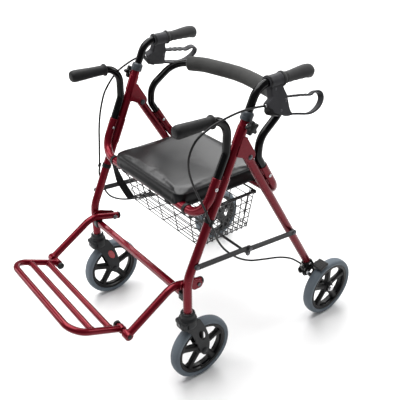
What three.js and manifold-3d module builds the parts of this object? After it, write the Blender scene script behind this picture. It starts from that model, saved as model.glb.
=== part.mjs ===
// Rollator walker with a flip-up seat, wire basket, folding footrest and four 8-inch wheels.
// Millimetres, +Z up. X is lateral (+X is the user's left), -Y is the front, where the footrest is.
// The origin is on the floor under the middle of the walker.
import * as THREE from 'three';
import { mergeVertices } from 'three/addons/utils/BufferGeometryUtils.js';
import Module from 'manifold-3d';

const wasm = await Module();
wasm.setup();

// ---------------------------------------------------------------- driving dimensions
const GAP = 0.4; // clearance between pieces that touch
const SIDES = 12; // facets round a frame tube

const FRAME_X = 250; // plane of the legs, sockets and handle tubes
const TUBE_R = 12.7; // 1 inch frame tube
const ROD_R = 11; // 7/8 inch tube that telescopes in the frame tube
const BORE_R = 11.5;

const WHEEL_R = 100;
const TYRE_WIDTH = 32;
const RIM_R = 83;

const LEG_Y = -162; // front leg below its bend
const LEG_FOOT_Z = 254;
const LEG_BEND_Z = 357;
const LEG_TOP_Z = 780;
const KNOB_Z = 761;
const LEG_LEAN = 0.45; // rearward run of the upper leg for each unit of height
const LEG_BEND_R = 110;

const FOLD_PIVOT = { y: 33, z: 672 };
const REAR_AXLE = { y: 386, z: 100 };
const REAR_WHEEL_X = 289;
const REAR_LEG_END_Z = 215;
const SOCKET_OFFSET = 2 * TUBE_R + 0.3; // socket centre line from its leg's centre line

const FRONT_SOCKET_TOP = 637;
const FRONT_CROSS_Z = 533;
const REAR_SOCKET_TOP = 626;
const REAR_CROSS_Z = 512;
const CROSS_BEND_R = 62;
const FRONT_SOCKET_BORE = 44;
const REAR_SOCKET_BORE = 64;

const HANDLE_Z = 853;
const GRIP_START_Y = 137;
const GRIP_END_Y = 247;
const HOUSING_TILT = 20; // degrees, lower edge outboard

const ARM_Z = 794;
const ARM_CORNER_Y = -34;
const ARM_END_Y = -186;

// The seat's front lip hangs down over the front cross tube.
const SEAT = { halfWidth: 173, front: -129, rear: 194, under: 528, lip: 530, board: 540, top: 575 };
const BASKET = { rimZ: 505, floorZ: 387, wall: 3 };

const CASTER_AXLE = { y: -119, z: 100 };
const STRUT_FRONT_Z = 403;
const STRUT_MID = { y: 42, z: 388 };
const STRUT_REAR_Z = 371;
const STRUT_ROD = { y: 40, z: 370 };

const FOOT_ARM_X = 221;
const FOOT_PIVOT = { y: -112, z: 315.7 };
const FOOT_HINGE = { y: -338, z: 246 };
const FOOT_TUBE_R = 9.5;
const FOOT_BAR_R = 8.5;
const FOOT_FRONT = { y: -476.5, z: 308.5 };

const BRAKE_PIVOT = { y: 304, z: 180 };
const CABLE_R = 2.5;
const CABLE_EXIT = new THREE.Vector3(268.3, 72, 802.5);
const CABLE_END = new THREE.Vector3(255, 284.6, 216.6);

// ---------------------------------------------------------------- geometry helpers
const at = (x, y, z) => new THREE.Vector3(x, y, z);
const radians = THREE.MathUtils.degToRad;

// Polyline whose corners are rounded by arcs; sampled only where it bends.
class BentPath extends THREE.Curve {
  constructor(corners, bendRadii, stepsPerBend = 6) {
    super();
    this.points = [corners[0]];
    this.tangents = [corners[1].clone().sub(corners[0]).normalize()];
    for (let i = 1; i < corners.length - 1; i += 1) {
      const radius = Array.isArray(bendRadii) ? bendRadii[i - 1] : bendRadii;
      this.addBend(corners[i - 1], corners[i], corners[i + 1], radius, stepsPerBend);
    }
    this.points.push(corners.at(-1));
    this.tangents.push(corners.at(-1).clone().sub(corners.at(-2)).normalize());
  }

  // A shallow bend takes fewer steps than a right angle.
  addBend(before, corner, after, radius, fullSteps) {
    const along = corner.clone().sub(before).normalize();
    const leaving = after.clone().sub(corner).normalize();
    const angle = along.angleTo(leaving);
    const inward = leaving.clone().addScaledVector(along, -leaving.dot(along)).normalize();
    const start = corner.clone().addScaledVector(along, -radius * Math.tan(angle / 2));
    const steps = Math.max(2, Math.round((fullSteps * angle) / (Math.PI / 2)));
    for (let step = 0; step <= steps; step += 1) {
      const turn = (angle * step) / steps;
      this.points.push(start.clone()
        .addScaledVector(along, radius * Math.sin(turn))
        .addScaledVector(inward, radius * (1 - Math.cos(turn))));
      this.tangents.push(along.clone().multiplyScalar(Math.cos(turn))
        .addScaledVector(inward, Math.sin(turn)));
    }
  }

  blend(list, t) {
    const place = t * (list.length - 1);
    const index = Math.min(Math.floor(place), list.length - 2);
    return list[index].clone().lerp(list[index + 1], place - index);
  }

  getPoint(t) {
    return this.blend(this.points, t);
  }

  getTangent(t) {
    return this.blend(this.tangents, t).normalize();
  }

  getUtoTmapping(u) {
    return u;
  }
}

function ring(radius, sides) {
  const points = [];
  for (let i = 0; i < sides; i += 1) {
    const angle = (2 * Math.PI * i) / sides;
    points.push(new THREE.Vector2(radius * Math.cos(angle), radius * Math.sin(angle)));
  }
  return points;
}

// Position-only, merged, with every face pointing out.
function tidy(geometry) {
  const bare = geometry.clone();
  for (const name of Object.keys(bare.attributes)) {
    if (name !== 'position') bare.deleteAttribute(name);
  }
  const merged = mergeVertices(bare, 1e-4);
  const p = merged.attributes.position;
  const index = merged.index.array;
  const corner = [at(0, 0, 0), at(0, 0, 0), at(0, 0, 0)];
  let volume = 0;
  for (let i = 0; i < index.length; i += 3) {
    corner.forEach((v, k) => v.fromBufferAttribute(p, index[i + k]));
    volume += corner[0].dot(corner[1].cross(corner[2]));
  }
  if (volume < 0) {
    for (let i = 0; i < index.length; i += 3) [index[i], index[i + 1]] = [index[i + 1], index[i]];
  }
  return merged;
}

function toSolid(geometry) {
  const merged = tidy(geometry);
  return new wasm.Manifold(new wasm.Mesh({
    numProp: 3,
    vertProperties: new Float32Array(merged.attributes.position.array),
    triVerts: new Uint32Array(merged.index.array),
  }));
}

function toGeometry(solid) {
  const mesh = solid.getMesh();
  const geometry = new THREE.BufferGeometry();
  geometry.setAttribute('position', new THREE.Float32BufferAttribute(mesh.vertProperties, 3));
  geometry.setIndex(new THREE.Uint32BufferAttribute(mesh.triVerts, 1));
  return geometry;
}

const join = (...pieces) => toGeometry(pieces.map(toSolid).reduce((sum, piece) => sum.add(piece)));
const cut = (base, ...tools) => toGeometry(
  tools.map(toSolid).reduce((rest, tool) => rest.subtract(tool), toSolid(base)));

const mirrored = (geometry) => tidy(tidy(geometry).scale(-1, 1, 1));

function sweep(path, section, steps = path.points.length - 1) {
  return new THREE.ExtrudeGeometry(new THREE.Shape(section),
    { extrudePath: path, steps, bevelEnabled: false });
}

const tube = (corners, radius, bends, sides = SIDES) => (
  sweep(new BentPath(corners, bends), ring(radius, sides)));

const cylinder = (start, end, radius, sides = SIDES) => tube([start, end], radius, 0, sides);

const crossPin = (y, z, x0, x1, radius, sides = 12) => (
  cylinder(at(x0, y, z), at(x1, y, z), radius, sides));

// Profile points are [radius, distance along the axis].
function turned(profile, origin, direction, segments = 18) {
  const points = profile.map(([r, h]) => new THREE.Vector2(r, h));
  const geometry = new THREE.LatheGeometry(points, segments);
  const spin = new THREE.Quaternion().setFromUnitVectors(at(0, 1, 0), direction.clone().normalize());
  return geometry.applyQuaternion(spin).translate(origin.x, origin.y, origin.z);
}

const closedProfile = (profile) => [...profile, profile[0]];

function wound(points, clockwise) {
  const outline = points.map(([y, z]) => new THREE.Vector2(y, z));
  return THREE.ShapeUtils.isClockWise(outline) === clockwise ? outline : outline.reverse();
}

// Plate whose outline is given as [y, z] points, between two x planes.
function plateX(outline, x0, x1, holes = []) {
  const shape = new THREE.Shape(wound(outline, false));
  shape.holes = holes.map((hole) => new THREE.Path(wound(hole, true)));
  const geometry = new THREE.ExtrudeGeometry(shape, { depth: x1 - x0, bevelEnabled: false });
  const turn = new THREE.Matrix4().makeBasis(at(0, 1, 0), at(0, 0, 1), at(1, 0, 0));
  return geometry.applyMatrix4(turn).translate(x0, 0, 0);
}

function block(x0, x1, y0, y1, z0, z1) {
  return new THREE.BoxGeometry(x1 - x0, y1 - y0, z1 - z0)
    .translate((x0 + x1) / 2, (y0 + y1) / 2, (z0 + z1) / 2);
}

// Outline of a bar with round ends, as [y, z] points.
function barOutline(a, b, halfWidth, steps = 6) {
  const heading = Math.atan2(b.z - a.z, b.y - a.y);
  const outline = [];
  [[a, heading + Math.PI / 2], [b, heading - Math.PI / 2]].forEach(([end, first]) => {
    for (let i = 0; i <= steps; i += 1) {
      const angle = first + (Math.PI * i) / steps;
      outline.push([end.y + halfWidth * Math.cos(angle), end.z + halfWidth * Math.sin(angle)]);
    }
  });
  return outline;
}

function roundedRectangle(x0, x1, y0, y1, radius, steps = 4) {
  const centres = [[x1 - radius, y1 - radius], [x0 + radius, y1 - radius],
    [x0 + radius, y0 + radius], [x1 - radius, y0 + radius]];
  return centres.flatMap(([cx, cy], corner) => {
    const arc = [];
    for (let i = 0; i <= steps; i += 1) {
      const angle = (Math.PI / 2) * (corner + i / steps);
      arc.push(new THREE.Vector2(cx + radius * Math.cos(angle), cy + radius * Math.sin(angle)));
    }
    return arc;
  });
}

// Solid between two outlines with the same number of points, one above the other.
function lofted(lower, lowerZ, upper, upperZ) {
  const count = lower.length;
  const positions = [];
  lower.forEach((p) => positions.push(p.x, p.y, lowerZ));
  upper.forEach((p) => positions.push(p.x, p.y, upperZ));
  const index = [];
  for (let i = 0; i < count; i += 1) {
    const next = (i + 1) % count;
    index.push(i, next, count + next, i, count + next, count + i);
    if (i > 0 && i < count - 1) index.push(0, i + 1, i, count, count + i, count + i + 1);
  }
  const geometry = new THREE.BufferGeometry();
  geometry.setAttribute('position', new THREE.Float32BufferAttribute(positions, 3));
  geometry.setIndex(index);
  return geometry;
}

// ---------------------------------------------------------------- centre lines
const frontLean = at(0, LEG_LEAN, 1).normalize();
const frontLegPoint = (z) => at(FRAME_X, LEG_Y + LEG_LEAN * (z - LEG_BEND_Z), z);
const frontSocketShift = at(0, -frontLean.z, frontLean.y).multiplyScalar(SOCKET_OFFSET);
const frontSocketPoint = (z) => frontLegPoint(z - frontSocketShift.z).add(frontSocketShift);

const rearLean = at(0, REAR_AXLE.y - FOLD_PIVOT.y, REAR_AXLE.z - FOLD_PIVOT.z).normalize();
const rearLegPoint = (z) => at(FRAME_X, FOLD_PIVOT.y, FOLD_PIVOT.z)
  .addScaledVector(rearLean, (z - FOLD_PIVOT.z) / rearLean.z);
const rearSocketShift = at(0, -rearLean.z, rearLean.y).multiplyScalar(SOCKET_OFFSET);
const rearSocketPoint = (z) => rearLegPoint(z - rearSocketShift.z).add(rearSocketShift);
const flip = (point) => at(-point.x, point.y, point.z);

const STRUT_FRONT = frontLegPoint(STRUT_FRONT_Z);
const STRUT_REAR = rearLegPoint(STRUT_REAR_Z);

// ---------------------------------------------------------------- front frame
function mainLeg() {
  const top = frontLegPoint(LEG_TOP_Z);
  const knob = frontLegPoint(KNOB_Z);
  const leg = tube([at(FRAME_X, LEG_Y, LEG_FOOT_Z), at(FRAME_X, LEG_Y, LEG_BEND_Z), top],
    TUBE_R, LEG_BEND_R);
  const nutBoss = crossPin(knob.y, knob.z, FRAME_X + 9, FRAME_X + 16.1, 6.5);
  const bore = cylinder(frontLegPoint(586), frontLegPoint(LEG_TOP_Z + 5), BORE_R);
  const stemBore = cylinder(at(FRAME_X, LEG_Y, LEG_FOOT_Z - 2), at(FRAME_X, LEG_Y, LEG_FOOT_Z + 30), 6);
  const strutHole = crossPin(STRUT_FRONT.y, STRUT_FRONT.z, FRAME_X + 5, FRAME_X + 15, 4.7);
  return cut(join(leg, nutBoss), bore, stemBore, strutHole);
}

function legCollar() {
  const profile = [[TUBE_R + GAP, -10], [16, -10], [16.5, 9], [14.5, 13], [BORE_R, 13],
    [BORE_R, GAP], [TUBE_R + GAP, GAP]];
  return turned(closedProfile(profile), frontLegPoint(LEG_TOP_Z), frontLean);
}

function gusset() {
  const outline = [[-14, 686], [12, 675], [22, 664], [33, 658], [43, 661], [50, 670], [50, 681],
    [19, 732], [6, 737]];
  const inner = TUBE_R + 0.6;
  const outer = inner + 2.4;
  const plates = [1, -1].map((side) => plateX(outline,
    FRAME_X + Math.min(side * inner, side * outer), FRAME_X + Math.max(side * inner, side * outer)));
  const webShift = at(0, frontLean.z, -frontLean.y);
  const webLine = (z, off) => frontLegPoint(z).addScaledVector(webShift, off);
  const webCorners = [webLine(698, 13.3), webLine(698, 15.6), webLine(736, 15.6), webLine(736, 13.3)];
  const web = plateX(webCorners.map((p) => [p.y, p.z]), FRAME_X - outer, FRAME_X + outer);
  const bolt = crossPin(FOLD_PIVOT.y, FOLD_PIVOT.z, FRAME_X - outer - 4, FRAME_X + outer + 4, 4);
  const heads = [1, -1].map((side) => crossPin(FOLD_PIVOT.y, FOLD_PIVOT.z,
    FRAME_X + side * (outer - 0.2), FRAME_X + side * (outer + 4), 8, 6));
  return join(...plates, web, bolt, ...heads);
}

function seatTube(socketPoint, socketTop, crossZ, bore) {
  const ends = [socketPoint(socketTop), socketPoint(crossZ)];
  const corners = [ends[0], ends[1], flip(ends[1]), flip(ends[0])];
  const away = ends[0].clone().sub(ends[1]).normalize();
  const mouth = ends[0].clone().addScaledVector(away, 5);
  const floor = ends[0].clone().addScaledVector(away, -bore);
  return cut(tube(corners, TUBE_R, CROSS_BEND_R),
    cylinder(floor, mouth, BORE_R), cylinder(flip(floor), flip(mouth), BORE_R));
}

const CROSSBAR = { z: 304, half: 9, end: 222 };

const lowerCrossbar = () => (
  block(-CROSSBAR.end, CROSSBAR.end, LEG_Y - CROSSBAR.half, LEG_Y + CROSSBAR.half,
    CROSSBAR.z - CROSSBAR.half, CROSSBAR.z + CROSSBAR.half));

function crossbarClamp() {
  const saddle = block(CROSSBAR.end + GAP, 244, LEG_Y - 12, LEG_Y + 12, 290, 313.6);
  const hole = cylinder(at(FRAME_X, LEG_Y, 285), at(FRAME_X, LEG_Y, 325), TUBE_R + GAP, 16);
  return cut(saddle, hole);
}

function footrestBracket() {
  const outline = [[-174, 322], [-148, 322], [-128, 302], [-104, 302], [-97, 312], [-104, 326],
    [-130, 336], [-150, 345], [-174, 345]];
  const plate = plateX(outline, 233.2, 236.8);
  const pin = crossPin(FOOT_PIVOT.y, FOOT_PIVOT.z, 205, 234, 5);
  const head = crossPin(FOOT_PIVOT.y, FOOT_PIVOT.z, 205, 208.5, 8.5);
  return join(plate, pin, head);
}

// ---------------------------------------------------------------- rear frame
function rearLeg() {
  const top = at(FRAME_X, FOLD_PIVOT.y, FOLD_PIVOT.z).addScaledVector(rearLean, -18);
  const leg = cylinder(top, rearLegPoint(REAR_LEG_END_Z), TUBE_R);
  const pivotHole = crossPin(FOLD_PIVOT.y, FOLD_PIVOT.z, FRAME_X - 20, FRAME_X + 20, 4.7);
  const strutHole = crossPin(STRUT_REAR.y, STRUT_REAR.z, FRAME_X + 4, FRAME_X + 15, 4.7);
  return cut(leg, pivotHole, strutHole);
}

const barrelAxis = at(0, 0.5, -0.866);

// The bracket's outline is drawn along the leg: [distance below the fold pivot, rearward offset].
function brakeBracket() {
  const rearward = at(0, -rearLean.z, rearLean.y);
  const legEnd = (REAR_LEG_END_Z - FOLD_PIVOT.z) / rearLean.z;
  const outline = [[legEnd + GAP, -13], [548, -17], [551, -38], [572, -41], [592, -22], [660, -13],
    [686, -11], [692, 0], [686, 11], [660, 13], [legEnd + GAP, 13]];
  const body = plateX(outline.map(([down, back]) => {
    const p = at(0, FOLD_PIVOT.y, FOLD_PIVOT.z).addScaledVector(rearLean, down)
      .addScaledVector(rearward, back);
    return [p.y, p.z];
  }), 239, 262);
  const boss = crossPin(REAR_AXLE.y, REAR_AXLE.z, 258, 271, 12, 16);
  const axle = crossPin(REAR_AXLE.y, REAR_AXLE.z, 258, 312, 5);
  const nut = crossPin(REAR_AXLE.y, REAR_AXLE.z, 307, 313, 9, 6);
  const shoeStud = crossPin(BRAKE_PIVOT.y, BRAKE_PIVOT.z, 258, 272, 4);
  const barrel = cylinder(CABLE_END.clone().addScaledVector(barrelAxis, 2 * GAP),
    CABLE_END.clone().addScaledVector(barrelAxis, 26), 4.5, 12);
  const barrelBlock = plateX([[285, 204], [294, 209], [308, 190], [298, 182]], 249, 261);
  return join(body, boss, axle, nut, shoeStud, barrel, barrelBlock);
}

function brakeShoe() {
  const arc = (radius, from, to) => {
    const points = [];
    for (let i = 0; i <= 5; i += 1) {
      const angle = radians(from + ((to - from) * i) / 5);
      points.push([REAR_AXLE.y + radius * Math.cos(angle), REAR_AXLE.z + radius * Math.sin(angle)]);
    }
    return points;
  };
  const padOutline = [...arc(WHEEL_R + 4, 102, 121), ...arc(WHEEL_R + 13, 121, 102)];
  const pad = plateX(padOutline, 266, 303);
  const arm = plateX([...arc(WHEEL_R + 5, 110, 131), [REAR_AXLE.y - 90, REAR_AXLE.z + 75],
    [REAR_AXLE.y - 92, REAR_AXLE.z + 84], ...arc(WHEEL_R + 12, 131, 110)], 264, 270);
  const eye = crossPin(BRAKE_PIVOT.y, BRAKE_PIVOT.z, 264, 270, 11, 16);
  const hole = crossPin(BRAKE_PIVOT.y, BRAKE_PIVOT.z, 262.5, 274, 4.7);
  return cut(join(pad, arm, eye), hole);
}

// ---------------------------------------------------------------- folding struts
const STRUT_HALF = 8;
const STRUT_THICK = 5;
const FRONT_STRUT_X = 264.2;
const REAR_STRUT_X = FRONT_STRUT_X + STRUT_THICK + 0.5;

function frontStruts() {
  const front = { y: STRUT_FRONT.y, z: STRUT_FRONT.z };
  const side = join(
    plateX(barOutline(front, STRUT_MID, STRUT_HALF), FRONT_STRUT_X, FRONT_STRUT_X + STRUT_THICK),
    plateX(barOutline(STRUT_MID, STRUT_ROD, STRUT_HALF - 1), FRONT_STRUT_X, FRONT_STRUT_X + STRUT_THICK),
    crossPin(front.y, front.z, FRAME_X + 7, FRONT_STRUT_X + 1, 4));
  const rod = crossPin(STRUT_ROD.y, STRUT_ROD.z, -FRONT_STRUT_X - 2, FRONT_STRUT_X + 2, 4);
  return join(side, rod, mirrored(side));
}

function rearStrut() {
  const rear = { y: STRUT_REAR.y, z: STRUT_REAR.z };
  return join(
    plateX(barOutline(STRUT_MID, rear, STRUT_HALF), REAR_STRUT_X, REAR_STRUT_X + STRUT_THICK),
    crossPin(rear.y, rear.z, FRAME_X + 6, REAR_STRUT_X + 1, 4),
    crossPin(rear.y, rear.z, FRAME_X + TUBE_R + 0.8, REAR_STRUT_X + 1, 8));
}

// ---------------------------------------------------------------- seat and basket
const HINGE = frontSocketPoint(FRONT_CROSS_Z);
const HINGE_HOLE_R = TUBE_R + 0.5;

function hingeRing(x, halfWidth, wall) {
  const profile = [[HINGE_HOLE_R, 0], [HINGE_HOLE_R + wall, 0], [HINGE_HOLE_R + wall, 2 * halfWidth],
    [HINGE_HOLE_R, 2 * halfWidth]];
  return turned(closedProfile(profile), at(x - halfWidth, HINGE.y, HINGE.z), at(1, 0, 0));
}

function seatOutline(inset, front, radius) {
  return new THREE.Shape(roundedRectangle(-SEAT.halfWidth + inset, SEAT.halfWidth - inset,
    front, SEAT.rear - inset, radius));
}

function seatPan() {
  const top = SEAT.board - GAP;
  const board = new THREE.ExtrudeGeometry(seatOutline(4, HINGE.y + 15, 10),
    { depth: top - SEAT.under, bevelEnabled: false }).translate(0, 0, SEAT.under);
  const hinges = [110, -110].flatMap((x) => [
    hingeRing(x, 10, 2),
    cut(block(x - 10, x + 10, HINGE.y + 8, HINGE.y + 20, SEAT.under, top),
      crossPin(HINGE.y, HINGE.z, x - 12, x + 12, HINGE_HOLE_R, 24))]);
  return join(board, ...hinges);
}

function seatCushion() {
  const edge = 9;
  const wallTop = SEAT.top - 2 * edge;
  const walls = new THREE.ExtrudeGeometry(seatOutline(0, SEAT.front, 31),
    { depth: wallTop - SEAT.lip, bevelEnabled: false }).translate(0, 0, SEAT.lip);
  const crown = new THREE.ExtrudeGeometry(seatOutline(edge, SEAT.front + edge, 22), {
    depth: 4,
    bevelEnabled: true,
    bevelThickness: edge,
    bevelSize: edge,
    bevelSegments: 3,
  }).translate(0, 0, SEAT.top - edge - 4);
  const channel = [
    block(-180, 180, HINGE.y + 14, SEAT.rear + 5, 520, SEAT.board),
    block(-180, 180, HINGE.y - 13.4, HINGE.y + 15, 520, HINGE.z),
    crossPin(HINGE.y, HINGE.z, -180, 180, 13.4, 24)];
  const hinges = [110, -110].flatMap((x) => [
    block(x - 11, x + 11, HINGE.y - 15.7, HINGE.y + 21, 520, HINGE.z),
    crossPin(HINGE.y, HINGE.z, x - 11, x + 11, 15.9, 24)]);
  return cut(join(walls, crown), ...channel, ...hinges);
}

function basket() {
  const rim = (inset) => roundedRectangle(-190 + inset, 190 - inset, -88 + inset, 140 - inset, 22 - inset);
  const floor = (inset) => roundedRectangle(-178 + inset, 178 - inset, -65 + inset, 128 - inset, 22 - inset);
  const shell = cut(lofted(floor(0), BASKET.floorZ, rim(0), BASKET.rimZ),
    lofted(floor(BASKET.wall), BASKET.floorZ + BASKET.wall, rim(BASKET.wall), BASKET.rimZ + 1));
  const neck = HINGE.y + 9;
  const hooks = [182, -182].flatMap((x) => [
    hingeRing(x, 5, 1.6),
    cut(block(x - 5, x + 5, neck, neck + 8, BASKET.rimZ - 6, HINGE.z - 2),
      crossPin(HINGE.y, HINGE.z, x - 8, x + 8, HINGE_HOLE_R, 24)),
    block(x - 5, x + 5, neck, -73, BASKET.rimZ - 6, BASKET.rimZ)]);
  return join(shell, ...hooks);
}

const STRAP_X = -212;

function foldStrap() {
  const route = new BentPath([at(STRAP_X, -102.5, 518), at(STRAP_X, -84, 440), at(STRAP_X, -52, 371),
    at(STRAP_X, 30, 361)], [60, 14], 5);
  return sweep(route, [[-1.5, -12], [1.5, -12], [1.5, 12], [-1.5, 12]]
    .map(([a, b]) => new THREE.Vector2(b, a)));
}

// ---------------------------------------------------------------- push handles
const handleDirection = at(0, GRIP_END_Y - 61, 2.5).normalize();

const handleTube = () => tube([frontLegPoint(620), frontLegPoint(HANDLE_Z),
  frontLegPoint(HANDLE_Z).addScaledVector(handleDirection, GRIP_END_Y - 61)], ROD_R, 50);

const handlePoint = (y) => frontLegPoint(HANDLE_Z)
  .addScaledVector(handleDirection, (y - frontLegPoint(HANDLE_Z).y) / handleDirection.y);

function pushGrip() {
  const profile = [[0, 110.8], [BORE_R, 110.8], [BORE_R, 0], [19, 0], [20, 3], [19, 6], [15, 9],
    [14.6, 40], [15.4, 80], [17, 100], [15, 112], [8, 116], [0, 117]];
  return turned(profile, handlePoint(GRIP_START_Y), handleDirection, 14);
}

// Pieces of the brake lever set are drawn upright and swung outboard about the handle tube.
function tilted(geometry) {
  return geometry.translate(-FRAME_X, 0, -HANDLE_Z).rotateY(-radians(HOUSING_TILT))
    .translate(FRAME_X, 0, HANDLE_Z);
}

const LEVER_PIVOT = { y: 134, z: 800 };

function brakeHousing() {
  const clamp = cylinder(handlePoint(91), handlePoint(GRIP_START_Y - GAP), 17.5, 16);
  const outline = [[94, 842], [135, 842], [136, 830], [143, 812], [143, 760], [106, 766], [84, 776],
    [76, 790], [73, 804], [92, 815]];
  const body = tilted(plateX(outline, FRAME_X - 11, FRAME_X + 11));
  const slot = tilted(block(FRAME_X - 6.9, FRAME_X + 6.9, 118, 150, 752, 827));
  const pinHole = tilted(crossPin(LEVER_PIVOT.y, LEVER_PIVOT.z, FRAME_X - 14, FRAME_X + 14, 4.2));
  const bore = cylinder(handlePoint(80), handlePoint(150), BORE_R);
  return cut(join(clamp, body), slot, pinHole, bore);
}

function brakeLever() {
  const outer = [[126, 806], [146, 811], [190, 804], [228, 796], [240, 800], [262, 798], [272, 790],
    [273, 776], [261, 759], [243, 749], [225, 744.5], [208, 744.5], [180, 751], [146, 758], [134, 759],
    [128, 780]];
  const inner = [[150, 804], [190, 798.5], [228, 790.5], [241, 794], [259, 792], [265.5, 786],
    [266, 777], [256, 764], [241, 755], [225, 750.5], [209, 750.5], [181, 757], [150, 763.5]];
  const loop = plateX(outer, FRAME_X - 6, FRAME_X + 6, [inner]);
  const fingerLoop = cut(plateX(outer, FRAME_X - 9, FRAME_X + 9, [inner]),
    block(FRAME_X - 12, FRAME_X + 12, 120, 160, 740, 815));
  const pin = crossPin(LEVER_PIVOT.y, LEVER_PIVOT.z, FRAME_X - 10.5, FRAME_X + 10.5, 3.5);
  return tilted(join(loop, fingerLoop, pin));
}

function starKnob() {
  const centre = frontLegPoint(KNOB_Z);
  const lobes = 5;
  const outline = [];
  for (let i = 0; i < 30; i += 1) {
    const angle = (2 * Math.PI * i) / 30;
    const radius = 16.5 + 2.5 * Math.cos(lobes * angle);
    outline.push([centre.y + radius * Math.cos(angle), centre.z + radius * Math.sin(angle)]);
  }
  const hub = crossPin(centre.y, centre.z, FRAME_X + 16.6, FRAME_X + 24, 8, 16);
  return join(plateX(outline, FRAME_X + 22, FRAME_X + 37), hub);
}

// ---------------------------------------------------------------- armrests and backrest
const armrestTube = () => tube([frontSocketPoint(601), frontSocketPoint(700),
  at(FRAME_X, ARM_CORNER_Y, ARM_Z), at(FRAME_X, ARM_END_Y, ARM_Z + 1)], ROD_R, [40, 48]);

function armrestGrip() {
  const profile = [[0, 105.5], [BORE_R, 105.5], [BORE_R, 0], [18, 0], [18, 5], [14.6, 8], [15.2, 40],
    [17.3, 85], [17, 99], [13, 109], [6, 112], [0, 112.6]];
  return turned(profile, at(FRAME_X, -82, ARM_Z + 0.3), at(0, -1, 0.0066), 14);
}

const BACK_BOW = [at(244, 165, 772), at(150, 215, 776), at(0, 237, 780)];
const BACK_BEND_R = 90;

function backrestBar() {
  const left = [rearSocketPoint(574), rearSocketPoint(655), at(FRAME_X, 77, 708), BACK_BOW[0],
    BACK_BOW[1]];
  const corners = [...left, BACK_BOW[2], ...left.map(flip).reverse()];
  const bends = [30, 54, 70, BACK_BEND_R, 400, BACK_BEND_R, 70, 54, 30];
  return tube(corners, ROD_R, bends);
}

function backrestPad() {
  const end = BACK_BOW[0].clone().lerp(BACK_BOW[1], 0.46);
  const past = BACK_BOW[0].clone().lerp(BACK_BOW[1], 0.4);
  const path = (tip) => [tip, BACK_BOW[1], BACK_BOW[2], flip(BACK_BOW[1]), flip(tip)];
  const bends = [BACK_BEND_R, 400, BACK_BEND_R];
  return cut(tube(path(end), 22.8, bends), tube(path(past), BORE_R, bends));
}

// ---------------------------------------------------------------- wheels and casters
function tyre(x, axle) {
  const half = TYRE_WIDTH / 2;
  const inner = RIM_R + GAP;
  const profile = [[inner, -half + 2], [91, -half], [97.5, -half + 4], [WHEEL_R, -5], [WHEEL_R, 5],
    [97.5, half - 4], [91, half], [inner, half - 2]];
  return turned(closedProfile(profile), at(x, axle.y, axle.z), at(1, 0, 0), 32);
}

function rim(x, axle) {
  const spokes = 5;
  const windows = [];
  for (let i = 0; i < spokes; i += 1) {
    const centre = (2 * Math.PI * (i + 0.5)) / spokes + Math.PI / 2;
    const hole = [];
    [[26, 0.2], [70, -0.46]].forEach(([radius, spread]) => {
      for (let k = -1; k <= 1; k += 1) {
        const angle = centre + spread * k;
        hole.push([axle.y + radius * Math.cos(angle), axle.z + radius * Math.sin(angle)]);
      }
    });
    windows.push(hole);
  }
  const disc = plateX(ring(78, 32).map((p) => [axle.y + p.x, axle.z + p.y]), x - 6, x + 6, windows);
  const band = turned(closedProfile([[74, -13], [RIM_R, -13], [RIM_R, 13], [74, 13]]),
    at(x, axle.y, axle.z), at(1, 0, 0), 32);
  const hub = crossPin(axle.y, axle.z, x - 17.4, x + 17.4, 16, 14);
  const bore = crossPin(axle.y, axle.z, x - 20, x + 20, 5.7, 10);
  return cut(join(disc, band, hub), bore);
}

function casterFork() {
  const stem = { y: LEG_Y, x: FRAME_X };
  const cap = turned([[0, 205], [20, 205], [26, 216], [26, 234], [21, 238], [21, 250], [16, 253.5],
    [0, 253.5]], at(stem.x, stem.y, 0), at(0, 0, 1));
  const pin = cylinder(at(stem.x, stem.y, 250), at(stem.x, stem.y, LEG_FOOT_Z + 26), 5, 12);
  const outline = [[-188, 228], [-188, 214], [-167, 186], [-155, 162], [-144, 134], [-134, 106],
    [-127, 89], [-118, 81], [-109, 83], [-101, 96], [-99, 118], [-104, 152], [-114, 183], [-128, 212],
    [-136, 228]];
  const window = [[-136, 182], [-140, 174], [-138, 160], [-131, 148], [-122, 143], [-117, 148],
    [-118, 160], [-125, 174]];
  const inner = 18;
  const outer = 22.4;
  const blades = [plateX(outline, stem.x + inner, stem.x + outer, [window]),
    plateX(outline, stem.x - outer, stem.x - inner, [window])];
  const crown = block(stem.x - outer, stem.x + outer, -188, -138, 206, 228);
  const axle = crossPin(CASTER_AXLE.y, CASTER_AXLE.z, stem.x - 27, stem.x + 27, 5);
  const heads = [1, -1].map((side) => crossPin(CASTER_AXLE.y, CASTER_AXLE.z,
    stem.x + side * 22, stem.x + side * 27, 8, 6));
  return join(cap, pin, ...blades, crown, axle, ...heads);
}

// ---------------------------------------------------------------- footrest
function footrestArm() {
  const arm = tube([at(FOOT_ARM_X, -97, 312), at(FOOT_ARM_X, -190, 338),
    at(FOOT_ARM_X, FOOT_HINGE.y, FOOT_HINGE.z)], ROD_R, 60);
  const hinge = crossPin(FOOT_HINGE.y, FOOT_HINGE.z, 166, FOOT_ARM_X + 12, 6);
  const stop = crossPin(FOOT_HINGE.y, FOOT_HINGE.z, 164, 169, 10);
  const hole = crossPin(FOOT_PIVOT.y, FOOT_PIVOT.z, 200, 240, 5.7);
  return cut(join(arm, hinge, stop), hole);
}

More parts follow.
